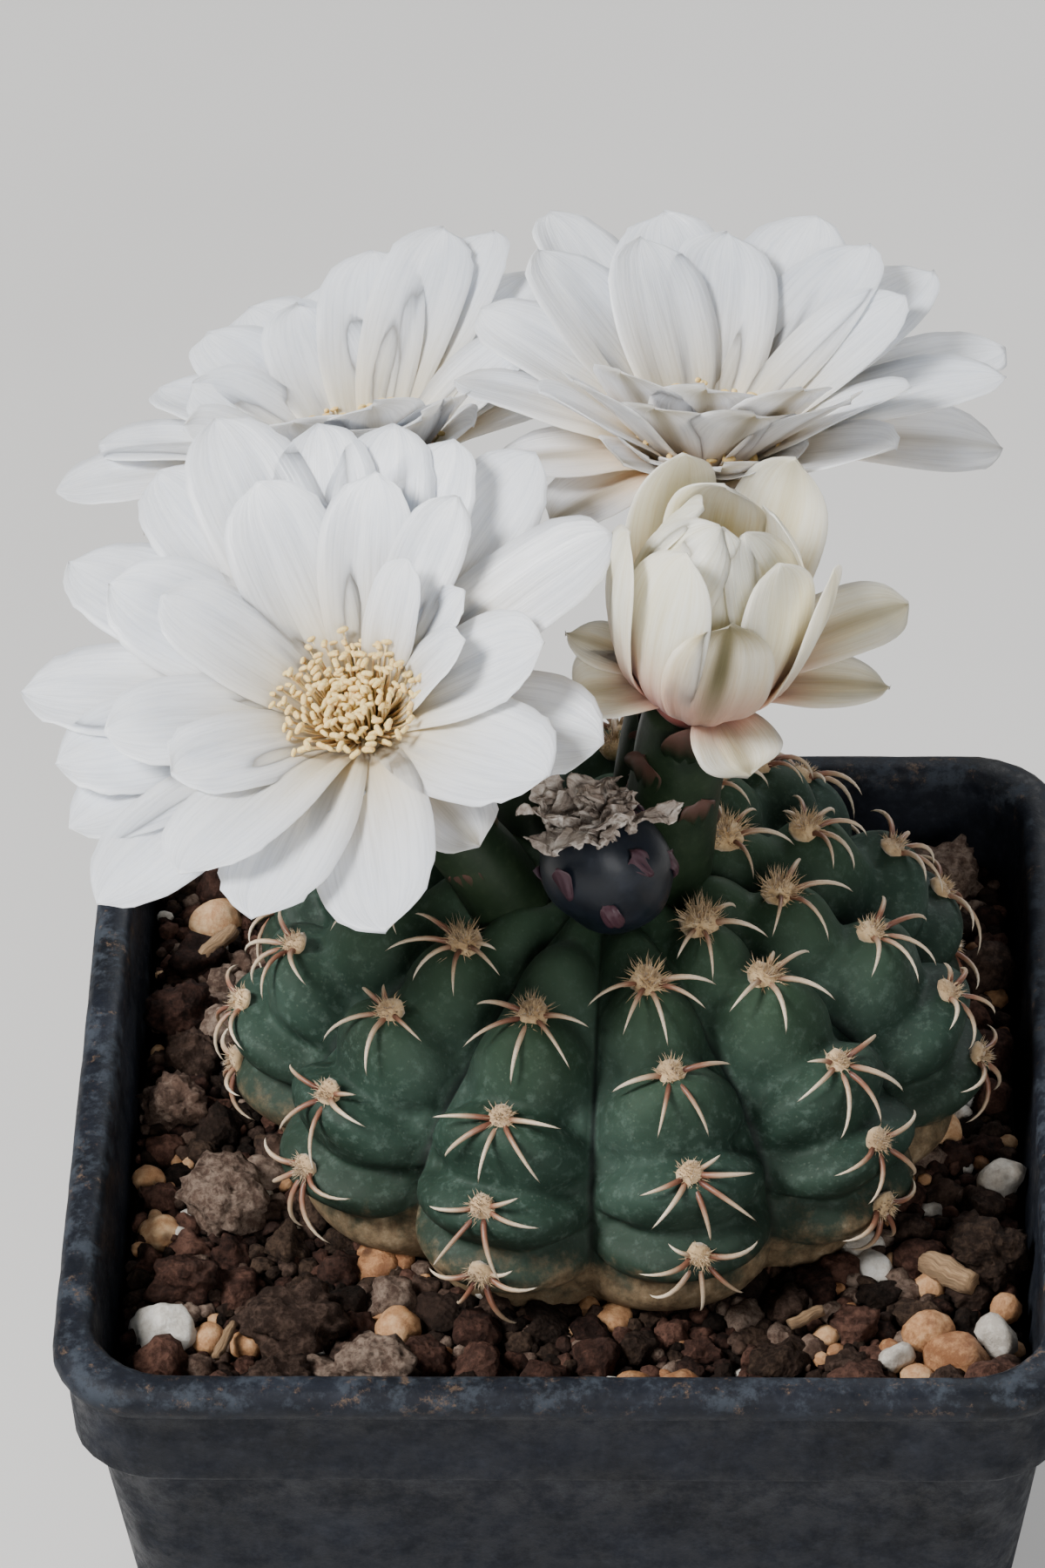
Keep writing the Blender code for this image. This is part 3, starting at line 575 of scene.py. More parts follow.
def make_stem_skin():
    """The green body down to just under the grit."""
    columns = STEM_RIBS * SKIN_COLUMNS_PER_RIB
    rings, marks = [], []
    for row in range(SKIN_ROWS + 1):
        angle = SKIN_TOP + (SKIN_BOTTOM - SKIN_TOP) * row / SKIN_ROWS
        ring = [stem_point(STEM_FRONT_GROOVE - math.tau * i / columns, angle) for i in range(columns)]
        rings.append([place for place, mark in ring])
        # Painted shade of creases and notches at each point
        marks.extend(mark for place, mark in ring)
    shape = Shape()
    shape.add(*skin(rings), marks=marks)
    shape.piece("stem_skin", stem_finish(), "stem_green", ("stem",))


def areoles():
    """(place, outward, down, sideways, angle in degrees) of every areole that no flower has used up."""
    roots = [bloom["root"] for bloom in BLOOMS.values()] + [FRUIT_CENTRE]
    for rib in range(STEM_RIBS):
        azimuth = STEM_FRONT_GROOVE + math.tau * (rib + 0.5) / STEM_RIBS
        side = Vector((-math.sin(azimuth), math.cos(azimuth), 0))
        for degrees in areole_angles(rib):
            angle = math.radians(degrees)
            place = stem_point(azimuth, angle)[0]
            if any((place - root).xy.length <= TUBE_CLEARING for root in roots):
                continue
            flat = Vector((math.cos(azimuth), math.sin(azimuth), 0)) * (math.sin(angle) / STEM_RADIUS)
            normal = (flat + Vector((0, 0, math.cos(angle) / STEM_HALF_HEIGHT))).normalized()
            yield place, normal, side.cross(normal).normalized(), side, degrees


def make_wool():
    """A felt cushion with loose fibres on every areole, thicker towards the crown."""
    rng = random.Random(21)
    shape = Shape()
    core_points, core_faces = ball(2)
    for place, normal, down, side, angle in areoles():
        young = max(0.0, min(1.0, (50 - angle) / 30))
        wide = (1.25 + 0.45 * young) * MM
        high = (0.75 + 0.7 * young) * MM
        age = rng.uniform(0.0, 0.5) + 0.5 * (1 - young)
        points = []
        for p in core_points:
            lump = 1 + 0.22 * noise.noise(p * 2.3 + place * 900)
            bulk = wide * p.x * side + 1.15 * wide * p.y * down + high * p.z * normal
            points.append(place + lump * bulk)
        shape.add(points, core_faces, tone=age)
        for _ in range(int(FIBRES + FIBRES_MORE * young)):
            flat = turned(rng.uniform(0, math.tau), side, down)
            tilt = rng.uniform(0.0, 1.45) ** 0.9
            out = turned(tilt, normal, flat).normalized()
            start = place + 0.75 * (wide * math.sin(tilt) * flat + high * math.cos(tilt) * normal)
            length = rng.uniform(0.5, 1.3 + 1.2 * young) * MM
            drift = random_vector(rng, 1) * 0.45
            middle = start + 0.5 * length * out
            path = [start, middle, middle + 0.5 * length * (out + drift).normalized()]
            shape.add(*tube(path, (0.05 * MM, 0.04 * MM, 0), 3), tone=age)
    shape.piece("areole_wool", wool_finish(), "stem_green", ("stem",))


def make_spines():
    """Bundles of horny spines that arch sideways and down over the ribs."""
    rng = random.Random(5)
    shape = Shape()
    for place, normal, down, side, angle in areoles():
        young = angle < SPINE_YOUNG_ANGLE
        fan = list(SPINES_FOUR if rng.random() < 0.5 else SPINES_FIVE)
        if rng.random() < 0.45:
            fan.append(rng.choice((-SPINE_BACKWARD, SPINE_BACKWARD)))
        if young:
            fan = SPINES_YOUNG
        for turn in fan:
            along = turned(math.radians(turn + rng.uniform(-8, 8)), down, side)
            length = rng.uniform(6.0, 7.8) * MM
            length *= 0.85 if abs(turn) > 60 else 1.0
            length *= 0.92 if young else 1.0
            if abs(turn) == SPINE_BACKWARD:
                length *= 0.55
            rise = math.radians(rng.uniform(50, 64))
            arch = math.radians(rng.uniform(90, 122))
            path = [place + 0.6 * MM * along - 0.3 * MM * normal]
            for step in range(SPINE_STEPS):
                lift = rise - arch * (step / (SPINE_STEPS - 1)) ** 0.9
                path.append(path[-1] + length / SPINE_STEPS * turned(lift, along, normal))
            if spine_fits(path):
                radius = rng.uniform(0.22, 0.28) * MM
                shares = [i / SPINE_STEPS for i in range(SPINE_STEPS)]
                radii = [radius * (1.15 - 0.35 * share - 0.75 * share ** 3) for share in shares]
                shape.add(*tube(path, radii + [0], 7), tone=rng.random())
    shape.piece("spines", spine_finish(), "stem_green", ("stem",))


def spine_fits(path):
    for p in path:
        inside = p.z > ABOVE_GRIT and max(abs(p.x), abs(p.y)) < INSIDE_POT
        if p.z < ABOVE_LIP and not inside:
            return False
    return True


# Blooms


PETAL_ROOT = 3.0 * MM
PETAL_POINT = 0.3 * MM
PETAL_IN_CUP = 0.9
PETAL_CURL = math.radians(12)
PETAL_CUPPED = math.radians(30)
PETAL_LEAST_HALF_WIDTH = 0.12 * MM
# Steps of a petal's middle line, how much closer its rows stand near the tip, and where it may tear
PETAL_STEPS = 44
PETAL_CROWDING = 1.45
PETAL_TEARS_FROM = 0.72
# Where along itself a petal is widest
PETAL_WIDEST = 0.62
BUD_BULGE = math.radians(44)
BUD_CLOSING = math.radians(24)
BUD_HEART = math.radians(10)
BUD_HEART_CLOSING = math.radians(44)
# How much the margins are torn
TEARS_FEW = 0.03
TEARS_OPEN = 0.18

STAMENS = 220
STAMEN_STEPS = 6
STIGMA_LOBES = 9
TUBE_STEPS = 26
TUBE_SCALES = 10

# A petal is (azimuth, opening from the axis, length in mm, width in mm, how much it is an outer one).
# A tube is its radius in mm at the root, in the middle and at the throat.
BLOOMS = {
    "front_bloom": {
        "throat": mm(-18.3, 0.3, 117.8),
        "axis": Vector((-0.18, -0.29, 0.94)).normalized(),
        "root": mm(-5.5, 2.5, 97.0),
        "tube": (3.6, 3.3, 3.5),
        "petals": (
            (176, 80, 28.5, 10.1, 0), (193, 78, 25.5, 10.1, 0), (206, 82, 26, 10.1, 0),
            (223, 82, 28.5, 10.1, 0), (148, 78, 29, 10.6, 0), (281, 80, 25.5, 11.1, 0.1),
            (343, 84, 22.5, 11.1, 0.25), (21, 70, 27, 10.1, 0.15), (125, 76, 29, 10.6, 0),
            (307, 90, 17, 9.1, 0.8), (324, 72, 22.5, 11.1, 0), (256, 74, 25.5, 10.1, 0),
            (240, 68, 25, 10.1, 0), (191, 66, 21.5, 10.1, 0), (152, 68, 24, 10.6, 0),
            (113, 68, 29.5, 11.1, 0), (96, 66, 26, 10.1, 0), (48, 72, 27, 10.1, 0),
            (358, 60, 19.5, 9.6, 0), (66, 64, 25, 10.1, 0), (213, 60, 18, 9.1, 0),
            (152, 54, 19.5, 9.1, 0), (112, 56, 22, 10.1, 0), (77, 52, 21, 9.1, 0), (53, 50, 21, 7, 0),
            (5, 40, 14.5, 6.5, 0), (52, 33, 15.5, 5.5, 0), (262, 64, 12, 6, 0), (28, 46, 15, 6, 0),
            (80, 65, 25.5, 10.5, 0),
        ),
    },
    "back_bloom": {
        "throat": mm(-18.4, 31.0, 121.0),
        "axis": Vector((-0.16, 0.20, 0.96)).normalized(),
        "root": mm(-3.5, 12.5, 97.0),
        "tube": (3.6, 3.2, 3.5),
        "petals": (
            (184, 84, 27, 10.2, 0.2), (169, 80, 24, 10.2, 0), (145, 76, 23, 10.7, 0),
            (116, 72, 26, 11.2, 0), (97, 68, 25, 11.2, 0), (35, 78, 20, 10.2, 0.1),
            (200, 88, 20, 9.2, 0.5), (51, 70, 26, 10.2, 0), (12, 78, 22, 10.2, 0.4), (62, 66, 29, 9.2, 0),
            (328, 54, 13, 9.7, 0.1), (236, 46, 14.5, 10.2, 0), (302, 44, 16, 10.2, 0.4),
            (268, 40, 15.5, 10.2, 0.4), (71, 62, 28, 9.2, 0), (107, 60, 21, 10.2, 0),
            (152, 60, 18, 9.7, 0), (20, 58, 19, 9.2, 0), (190, 54, 17, 9.2, 0), (85, 62, 26, 10.2, 0),
            (130, 66, 23, 10.2, 0), (286, 37, 17.5, 10.2, 0.4), (252, 38, 17, 10.2, 0.4),
            (318, 42, 15.5, 9.7, 0.4),
        ),
    },
    "tall_bloom": {
        "throat": mm(11.4, 25.0, 127.1),
        "axis": Vector((0.08, 0.12, 0.99)).normalized(),
        "root": mm(6.5, 15.0, 97.0),
        "tube": (3.6, 3.0, 3.5),
        "petals": (
            (125, 66, 29, 10.2, 0), (12, 92, 26, 10.2, 0.6), (26, 78, 29, 10.2, 0), (12, 74, 27, 9.7, 0),
            (40, 66, 28, 9.7, 0), (90, 70, 26, 10.7, 0), (166, 82, 22, 9.2, 0.3), (186, 94, 17, 9.2, 0.9),
            (148, 74, 24, 10.2, 0), (212, 102, 14, 8.7, 1.0), (270, 68, 9.5, 9.7, 1.0),
            (330, 64, 19, 10.2, 0.35), (68, 62, 28, 10.7, 0), (103, 60, 26, 11.2, 0),
            (236, 60, 13, 9.7, 0.9), (136, 56, 24, 10.7, 0), (52, 58, 26, 10.2, 0), (350, 54, 20, 9.2, 0),
            (302, 38, 21.5, 10.2, 0.7), (268, 34, 20, 10.2, 0.75), (85, 54, 23, 10.2, 0),
            (205, 54, 18, 9.7, 0), (234, 36, 20.5, 10.2, 0.7), (112, 50, 22, 9.7, 0),
            (30, 54, 23, 9.2, 0), (285, 40, 18.5, 10.2, 0.8), (250, 40, 18, 10.2, 0.8),
            (318, 44, 20, 10.2, 0.6), (218, 44, 19, 10.2, 0.6), (276, 52, 12, 10, 0.7),
            (243, 54, 12, 9, 0.7), (310, 54, 12, 9, 0.7),
        ),
    },
    "opening_bud": {
        "throat": mm(10.7, 5.0, 117.6),
        "axis": Vector((0.17, -0.06, 0.98)).normalized(),
        "root": mm(8.0, 5.5, 97.0),
        "tube": (4.0, 4.3, 3.9),
        "petals": (
            (196, 86, 9.5, 9, 0.7), (162, 82, 10.5, 6, 0.6), (300, 98, 8.5, 8.5, 0.8),
            (2, 80, 15.5, 7.5, 0.7), (21, 66, 19, 8, 0.7), (110, 70, 12, 7, 0.6),
            (275, 17, 18.5, 9.5, 1.0), (190, 15, 22, 9, 0.15), (345, 17, 21.5, 9, 0.2),
            (60, 22, 23.5, 9.5, 0.4), (118, 16, 23, 9, 0.1), (232, 9, 23, 9.5, 0.05),
            (312, 8, 22, 9, 0.05), (28, 5, 23.5, 9, 0), (92, 5, 24, 9, 0), (160, 4, 23.5, 9, 0),
            (215, 2, 24, 9.5, 0), (262, 1, 24, 9.5, 0), (318, 2, 23.5, 9.5, 0),
        ),
    },
}

FRUIT_CENTRE = mm(3.2, -3.6, 105.4)
FRUIT_AXIS = Vector((-0.42, -0.2, 0.88)).normalized()
FRUIT_RADIUS = 5.6 * MM
FRUIT_HALF_LENGTH = 6.6 * MM
FRUIT_ROWS = 28
FRUIT_SCALES = 9
WITHERED_PETALS = 38


def bloom_frame(axis):
    """The directions of azimuth 0 and azimuth 90 round a bloom's axis, as unit vectors."""
    zero = (Vector((1, 0, 0)) - axis.x * axis).normalized()
    return zero, axis.cross(zero)


def petal_slope(t, opening):
    """Angle between the petal and the bloom's axis: opening out, or bulging and closing again in a bud."""
    beyond = max(0, (t - 0.5) / 0.5)
    if 0 < opening < PETAL_CUPPED:
        closing = BUD_CLOSING + BUD_HEART_CLOSING * max(0, 1 - opening / BUD_HEART)
        return opening + BUD_BULGE * max(0, 1 - t / 0.4) - closing * beyond
    return opening * (0.45 + 0.55 * min(1, t / 0.4) ** 0.8) + PETAL_CURL * beyond ** 2


def petal_half_width(t, width):
    """Narrow at the root, and rounded at the tip."""
    if t < PETAL_WIDEST:
        return width / 2 * (0.3 + 0.7 * math.sin(t / PETAL_WIDEST * math.pi / 2))
    return width / 2 * max(0.0, 1 - ((t - PETAL_WIDEST) / (1 - PETAL_WIDEST)) ** 3.0) ** 0.52


def petal_line(length, opening, root):
    """The middle line of a petal as (reach from the axis, height) at even steps, and its slope at each."""
    reach, height = root, 0.0
    line, slopes = [(reach, height)], []
    for i in range(PETAL_STEPS):
        slope = petal_slope((i + 0.5) / PETAL_STEPS, opening)
        reach += length / PETAL_STEPS * math.sin(slope)
        height += length / PETAL_STEPS * math.cos(slope)
        line.append((reach, height))
        slopes.append(slope)
    return line, slopes


def leaf_faces(rows, columns):
    """Faces of a closed leaf: an upper and a lower grid of points, joined along their border."""
    span = columns + 1
    count = (rows + 1) * span
    faces = []
    for row in range(rows):
        for column in range(columns):
            a = row * span + column
            faces.append((a, a + 1, a + 1 + span, a + span))
            faces.append((count + a, count + a + span, count + a + 1 + span, count + a + 1))
    border = [row * span for row in range(rows)] + [rows * span + c for c in range(columns)]
    border += [row * span + columns for row in range(rows, 0, -1)] + list(range(columns, 0, -1))
    for a, b in zip(border, border[1:] + border[:1]):
        faces.append((a, b, count + b, count + a))
    return faces


def add_petal(
    shape, throat, axis, petal, rng, rows=22, columns=10, thickness=0.5, root=PETAL_ROOT, tears=TEARS_FEW
):
    """A thin arched petal with a channelled root, a wavy margin and a slight twist, closed all round."""
    azimuth, opening, length, width, outer = petal
    length = (length - PETAL_IN_CUP) * MM
    outward = turned(math.radians(azimuth), *bloom_frame(axis))
    side = axis.cross(outward)
    line, slopes = petal_line(length, math.radians(opening), root)
    twist = rng.uniform(-0.16, 0.16)
    sweep = rng.uniform(-0.035, 0.035)
    wave = rng.uniform(0.2, 0.55) * MM
    phase = rng.uniform(0, math.tau)
    cup = rng.uniform(0.2, 0.42)
    tone = rng.random()
    top, bottom, places = [], [], []
    for row in range(rows + 1):
        t = 1 - (1 - row / rows) ** PETAL_CROWDING
        spot = min(PETAL_STEPS - 1, int(t * PETAL_STEPS))
        part = t * PETAL_STEPS - spot
        reach, height = (a + part * (b - a) for a, b in zip(line[spot], line[spot + 1]))
        slope = slopes[spot]
        if row == rows:
            reach += PETAL_POINT * math.sin(slope)
            height += PETAL_POINT * math.cos(slope)
        inward = math.sin(slope) * axis - math.cos(slope) * outward
        lateral = turned(twist * t, side, inward)
        facing = turned(twist * t, inward, -side)
        half = max(petal_half_width(t, width * MM), PETAL_LEAST_HALF_WIDTH)
        centre = throat + reach * outward + height * axis + sweep * length * t * t * side
        torn_share = tears * max(0, (t - PETAL_TEARS_FROM) / (1 - PETAL_TEARS_FROM))
        for column in range(columns + 1):
            across = 2 * column / columns - 1
            torn = 1 + torn_share * noise.noise(Vector((31 * t, 7 * phase, 2.3 * across))) * abs(across)
            lift = cup * half * (across ** 2 * (1 - 0.55 * t) - 0.15)
            lift += wave * t * across * abs(across) * math.sin(7 * t + phase)
            lift += 0.24 * MM * math.cos(3 * math.pi * across) * math.sin(math.pi * t) * (1 - 0.5 * t)
            thick = 0.5 * thickness * MM * (1 - 0.72 * abs(across) ** 2.5) * (1.15 - 0.75 * t)
            p = centre + across * half * torn * lateral + lift * facing
            top.append(p + thick * facing)
            bottom.append(p - thick * facing)
            places.append((0.5 + 0.5 * across, t))
    marks = [0.7 * outer] * len(top) + [outer] * len(bottom)
    shape.add(top + bottom, leaf_faces(rows, columns), places * 2, tone, marks)


def make_petals(name, bloom, seed, finish, slot, tears):
    """A bloom's petals in their whorls, rooted in the throat's cup."""
    rng = random.Random(seed)
    shape = Shape()
    path = [bloom["throat"] + height * MM * bloom["axis"] for height in (-1.4, -0.8, 0.0, 0.7, 1.2)]
    points, faces, _ = tube(path, [r * MM for r in (2.9, 3.4, 3.6, 3.3, 2.4)], 32)
    shape.add(points, faces, [(0.5, 0.02)] * len(points))
    for petal in bloom["petals"]:
        add_petal(shape, bloom["throat"], bloom["axis"], petal, rng, tears=tears)
    shape.piece(name + "_petals_fine", finish, slot, (name + "_petals",))


def make_stamens(name, bloom, seed, finish):
    """A dense ring of stamens that arch in over the style with its lobed stigma."""
    rng = random.Random(seed)
    shape = Shape()
    axis = bloom["axis"]
    zero, quarter = bloom_frame(axis)
    foot = bloom["throat"] + 1.0 * MM * axis
    grain_points, grain_faces = ball(2)
    for k in range(STAMENS):
        layer = (k % 6) / 5
        outward = turned(math.tau * k * 0.618034 + rng.uniform(-0.1, 0.1), zero, quarter)
        lean = math.radians(8 + 42 * layer + rng.uniform(-6, 6))
        bend = -math.radians(rng.uniform(14, 40))
        length = rng.uniform(4.6, 6.4) * MM * (0.72 + 0.28 * layer)
        path = [foot + (1.1 + 1.6 * layer) * MM * outward + 0.3 * MM * axis]
        for step in range(STAMEN_STEPS):
            tilt = lean + bend * (step / STAMEN_STEPS) ** 2
            path.append(path[-1] + length / STAMEN_STEPS * turned(tilt, axis, outward))
        radii = [0.13 * MM - 0.03 * MM * i / STAMEN_STEPS for i in range(STAMEN_STEPS + 1)]
        shape.add(*tube(path, radii, 5), tone=layer)
        heading = (path[-1] - path[-2]).normalized()
        cross = square_to(heading, outward)
        long_way = turned(rng.uniform(0, math.tau), cross, cross.cross(heading).normalized())
        wide_way = heading.cross(long_way)
        size = rng.uniform(0.7, 1.0)
        grain = []
        for g in grain_points:
            pinch = 1 - 0.3 * math.exp(-((g.x / 0.3) ** 2))
            bulk = 0.36 * pinch * g.y * wide_way + 0.3 * g.z * heading
            grain.append(path[-1] + size * MM * (0.62 * g.x * long_way + bulk))
        shape.add(grain, grain_faces, None, layer, [1.0] * len(grain))
    style = [foot + h * MM * axis for h in (0, 1, 2, 3)]
    shape.add(*tube(style, (0.7 * MM, 0.6 * MM, 0.55 * MM, 0.5 * MM), 12), tone=0.5)
    for k in range(STIGMA_LOBES):
        outward = turned(math.tau * k / STIGMA_LOBES, zero, quarter)
        path = [foot + 2.8 * MM * axis]
        for h, r in ((3.1, 0.3), (3.4, 0.5), (3.6, 0.7), (3.6, 0.9)):
            path.append(foot + h * MM * axis + r * MM * outward)
        points, faces, places = tube(path, [r * MM for r in (0.3, 0.3, 0.28, 0.22, 0.1)], 6)
        shape.add(points, faces, places, 0.5, [0.8] * len(points))
    shape.piece(name + "_stamens_fine", finish, "stamen_yellow", (name + "_stamens",))


def tube_line(bloom):
    """A smooth centreline of the flower tube, from under the crown's skin to the cup."""
    top = bloom["throat"] - 1.2 * MM * bloom["axis"]
    root = bloom["root"] - Vector((0, 0, 2 * MM))
    reach = (top - root).length
    lower = root + 0.42 * reach * (0.5 * (top - root).normalized() + 0.5 * Vector((0, 0, 1))).normalized()
    upper = top - 0.34 * reach * bloom["axis"]
    line = []
    for i in range(TUBE_STEPS + 1):
        t = i / TUBE_STEPS
        s = 1 - t
        line.append(s ** 3 * root + 3 * s * s * t * lower + 3 * s * t * t * upper + t ** 3 * top)
    return line


def make_tube(name, bloom, seed, finish):
    """The smooth green tube with its broad pointed scales, longest near the petals."""
    rng = random.Random(seed)
    shape = Shape()
    line = tube_line(bloom)
    low, waist, high = bloom["tube"]
    radii = []
    for i in range(TUBE_STEPS + 1):
        t = i / TUBE_STEPS
        radius = low + (waist - low) * t / 0.5 if t < 0.5 else waist + (high - waist) * (t - 0.5) / 0.5
        radii.append((radius + 0.12 * math.sin(9 * t)) * MM)
    shape.add(*tube(line, radii, 36))
    for k in range(TUBE_SCALES):
        t = 0.2 + 0.76 * k / TUBE_SCALES
        spot = int(t * TUBE_STEPS)
        heading = (line[spot + 1] - line[spot]).normalized()
        scale = (k * GOLDEN_ANGLE + 250, 15, 3.6 + 3.4 * t, 3.2 + 1.8 * t, 0.9)
        add_petal(shape, line[spot], heading, scale, rng, 10, 8, 0.4, radii[spot] - 1.3 * MM)
    shape.piece(name + "_tube_fine", finish, "tube_green", (name + "_tube",))


# Fruit and its dried flower


def make_berry():
    """The ripening berry with its rounded purple scales."""
    rng = random.Random(31)
    shape = Shape()
    path, radii = [], []
    for row in range(FRUIT_ROWS + 1):
        angle = math.pi * row / FRUIT_ROWS
        path.append(FRUIT_CENTRE - FRUIT_HALF_LENGTH * math.cos(angle) * FRUIT_AXIS)
        radii.append(FRUIT_RADIUS * math.sin(angle) ** 0.9 if 0 < row < FRUIT_ROWS else 0)
    points, faces, places = tube(path, radii, 44)
    points = [p + 0.3 * MM * noise.noise(p * 260) * (p - FRUIT_CENTRE).normalized() for p in points]
    shape.add(points, faces, places)
    for k in range(FRUIT_SCALES):
        share = -0.55 + 0.13 * k
        foot = FRUIT_CENTRE + share * FRUIT_HALF_LENGTH * FRUIT_AXIS
        root = FRUIT_RADIUS * math.sqrt(1 - share ** 2) - 0.05 * MM
        scale = (k * GOLDEN_ANGLE, -6 - 34 * share, 4.2, 1.9, 0.7)
        add_petal(shape, foot, FRUIT_AXIS, scale, rng, 12, 8, 0.45, root)
    shape.piece("berry", fruit_finish(), "fruit_skin", ("fruit",))


def make_withered_flower():
    """Shrivelled petals that fold over each other in a torn, crumpled tuft."""
    rng = random.Random(14)
    shape = Shape()
    foot = FRUIT_CENTRE + (FRUIT_HALF_LENGTH - 1.2 * MM) * FRUIT_AXIS
    for k in range(WITHERED_PETALS):
        opening = rng.uniform(6, 88)
        petal = (k * GOLDEN_ANGLE, opening, rng.uniform(3.4, 6.4), rng.uniform(1.6, 3.2), 0)
        before = len(shape.points)
        scatter = mm(rng.uniform(-1.7, 1.7), rng.uniform(-1.4, 1.4), rng.uniform(0, 1.6))
        add_petal(shape, foot + scatter, FRUIT_AXIS, petal, rng, 18, 12, 0.3, rng.uniform(0.1, 1.2) * MM)
        shift = random_vector(rng, 9)
        for i in range(before, len(shape.points)):
            p = shape.points[i]
            far = shape.places[i][1]
            crumple = noise.noise_vector(p * 420 + shift) * 1.5 + noise.noise_vector(p * 1200 + shift) * 0.9
            p = p + crumple * MM * (0.25 + 0.75 * far) - foot
            shape.points[i] = foot + Vector((1.15 * p.x + 1.6 * MM, p.y, 0.8 * p.z))
    shape.piece("withered_flower", papery_finish(), "dried_petals", ("dried_flower",))


# Grit


SOIL_LEVEL = 72 * MM
BED_LEVEL = 70.6 * MM
POT_LIP_HALF = 45 * MM
POT_CORNER = 8 * MM
# How far out stones may lie, and where the pot's corners begin and how far they go on
STONE_REACH = 40.2 * MM
CORNER_START = 33 * MM
CORNER_REACH = 7.2 * MM
STEM_HOLE = 27.5 * MM
SMALL_STONE = 1.1 * MM
STONE_BALLS = {detail: ball(detail) for detail in (2, 3, 4)}

# A kind's share of the strewn stones, how many cuts flatten it and how far from its middle they lie,
# its lumps and roughness, the scale of its pores, how dull it is, and its colours: dark, middle, light
# and in blotches
KINDS = {
    "lava": {
        "share": 0.34, "cuts": 7, "flat": 0.72, "lumps": 0.3, "rough": 0.16,
        "pores": 1500.0, "dullness": 0.9,
        "colours": ((0.008, 0.004, 0.003), (0.04, 0.019, 0.014), (0.12, 0.06, 0.043), (0.07, 0.042, 0.034)),
    },
    "pumice": {
        "share": 0.22, "cuts": 5, "flat": 0.78, "lumps": 0.28, "rough": 0.2,
        "pores": 1100.0, "dullness": 0.9,
        "colours": ((0.02, 0.012, 0.009), (0.072, 0.046, 0.035), (0.22, 0.165, 0.13), (0.12, 0.07, 0.05)),
    },
    "dark_grit": {
        "share": 0.33, "cuts": 6, "flat": 0.7, "lumps": 0.35, "rough": 0.22,
        "pores": 1900.0, "dullness": 0.9,
        "colours": (
            (0.005, 0.003, 0.002), (0.018, 0.011, 0.008), (0.06, 0.038, 0.026), (0.045, 0.026, 0.02),
        ),
    },
    "pebble": {
        "share": 0.07, "cuts": 2, "flat": 0.9, "lumps": 0.14, "rough": 0.015,
        "pores": 300.0, "dullness": 0.5,
        "colours": ((0.22, 0.09, 0.035), (0.46, 0.24, 0.11), (0.66, 0.45, 0.26), (0.56, 0.36, 0.2)),
    },
    "quartz": {
        "share": 0.04, "cuts": 6, "flat": 0.74, "lumps": 0.16, "rough": 0.03,
        "pores": 300.0, "dullness": 0.45,
        "colours": ((0.42, 0.38, 0.33), (0.66, 0.63, 0.57), (0.82, 0.81, 0.78), (0.6, 0.45, 0.3)),
    },
}

# Sizes of strewn stones: how many, least and greatest radius in mm, and how near each other they may lie
STREWN = ((120, 1.9, 3.1, 0.72), (330, 1.15, 1.8, 0.66), (1150, 0.6, 1.1, 0.5))
MOST_TRIES = 60
# The bed's sides as (height, half width) in mm, and its top as shares of the width
BED_SIDES = ((2.4, 31.9), (40, 35.9), (68, 39.6), (70.6, 39.9))
BED_TOP = (0.93, 0.86, 0.79, 0.72, 0.65, 0.55, 0.4)

# Bits of wood: place in mm, heading, length and radius in mm
TWIGS = (
    (33.5, -21.5, -0.75, 5.6, 1.3), (20.6, -27.5, 0.4, 3.4, 0.6), (-30.5, -30.5, 1.2, 4.0, 0.5),
    (-2.6, -37.6, 0.2, 3.0, 0.5), (-34.0, 24.0, 0.9, 5.0, 0.8), (30.0, 30.0, 2.1, 4.4, 0.7),
)
TWIG_LEVEL = 73.4
TWIG_STEPS = 8

# Stones that stand out in the photo: kind, place in mm, size in mm
LARGE_STONES = (
    ("pumice", (-31.6, -11.5), (4.4, 3.7, 3.4)),
    ("pumice", (-24.5, -28.0), (4.6, 3.5, 3.2)),
    ("pumice", (-16.6, -33.8), (3.9, 3.2, 3.1)),
    ("pumice", (-25.5, -36.0), (3.4, 2.8, 2.6)),
    ("lava", (-34.5, -22.0), (3.6, 3.0, 2.6)),
    ("lava", (-36.5, -33.0), (3.2, 2.6, 2.4)),
    ("quartz", (3.6, -36.6), (1.5, 2.0, 1.8)),
    ("pebble", (9.6, -36.4), (2.3, 2.1, 2.0)),
    ("lava", (15.8, -38.0), (3.4, 2.6, 2.0)),
    ("lava", (25.2, -35.4), (3.2, 2.7, 2.3)),
    ("lava", (32.0, -38.2), (2.5, 2.1, 1.8)),
    ("pebble", (31.5, -28.5), (2.4, 2.0, 1.9)),
    ("quartz", (37.5, -29.0), (2.4, 2.0, 1.9)),
    ("dark_grit", (38.0, -18.6), (3.0, 4.2, 3.4)),
    ("lava", (37.6, -35.4), (3.1, 2.6, 2.4)),
    ("quartz", (39.0, -8.5), (1.8, 2.4, 2.2)),
    ("quartz", (28.6, -31.6), (1.7, 1.4, 1.4)),
    ("pebble", (38.4, -25.2), (1.5, 1.5, 1.5)),
    ("pumice", (38.2, 21.0), (2.4, 3.0, 2.6)),
    ("pumice", (-37.0, 2.0), (2.8, 3.4, 2.6)),
    ("lava", (-36.6, 14.0), (3.0, 3.6, 2.8)),
    ("lava", (-33.0, 33.5), (4.0, 3.4, 3.0)),
    ("pumice", (-14.0, 38.0), (3.6, 2.6, 2.6)),
    ("lava", (12.0, 38.6), (3.2, 2.4, 2.4)),
    ("pumice", (34.0, 35.0), (4.0, 3.4, 3.0)),
    ("lava", (38.2, 9.5), (2.6, 3.0, 2.4)),
)


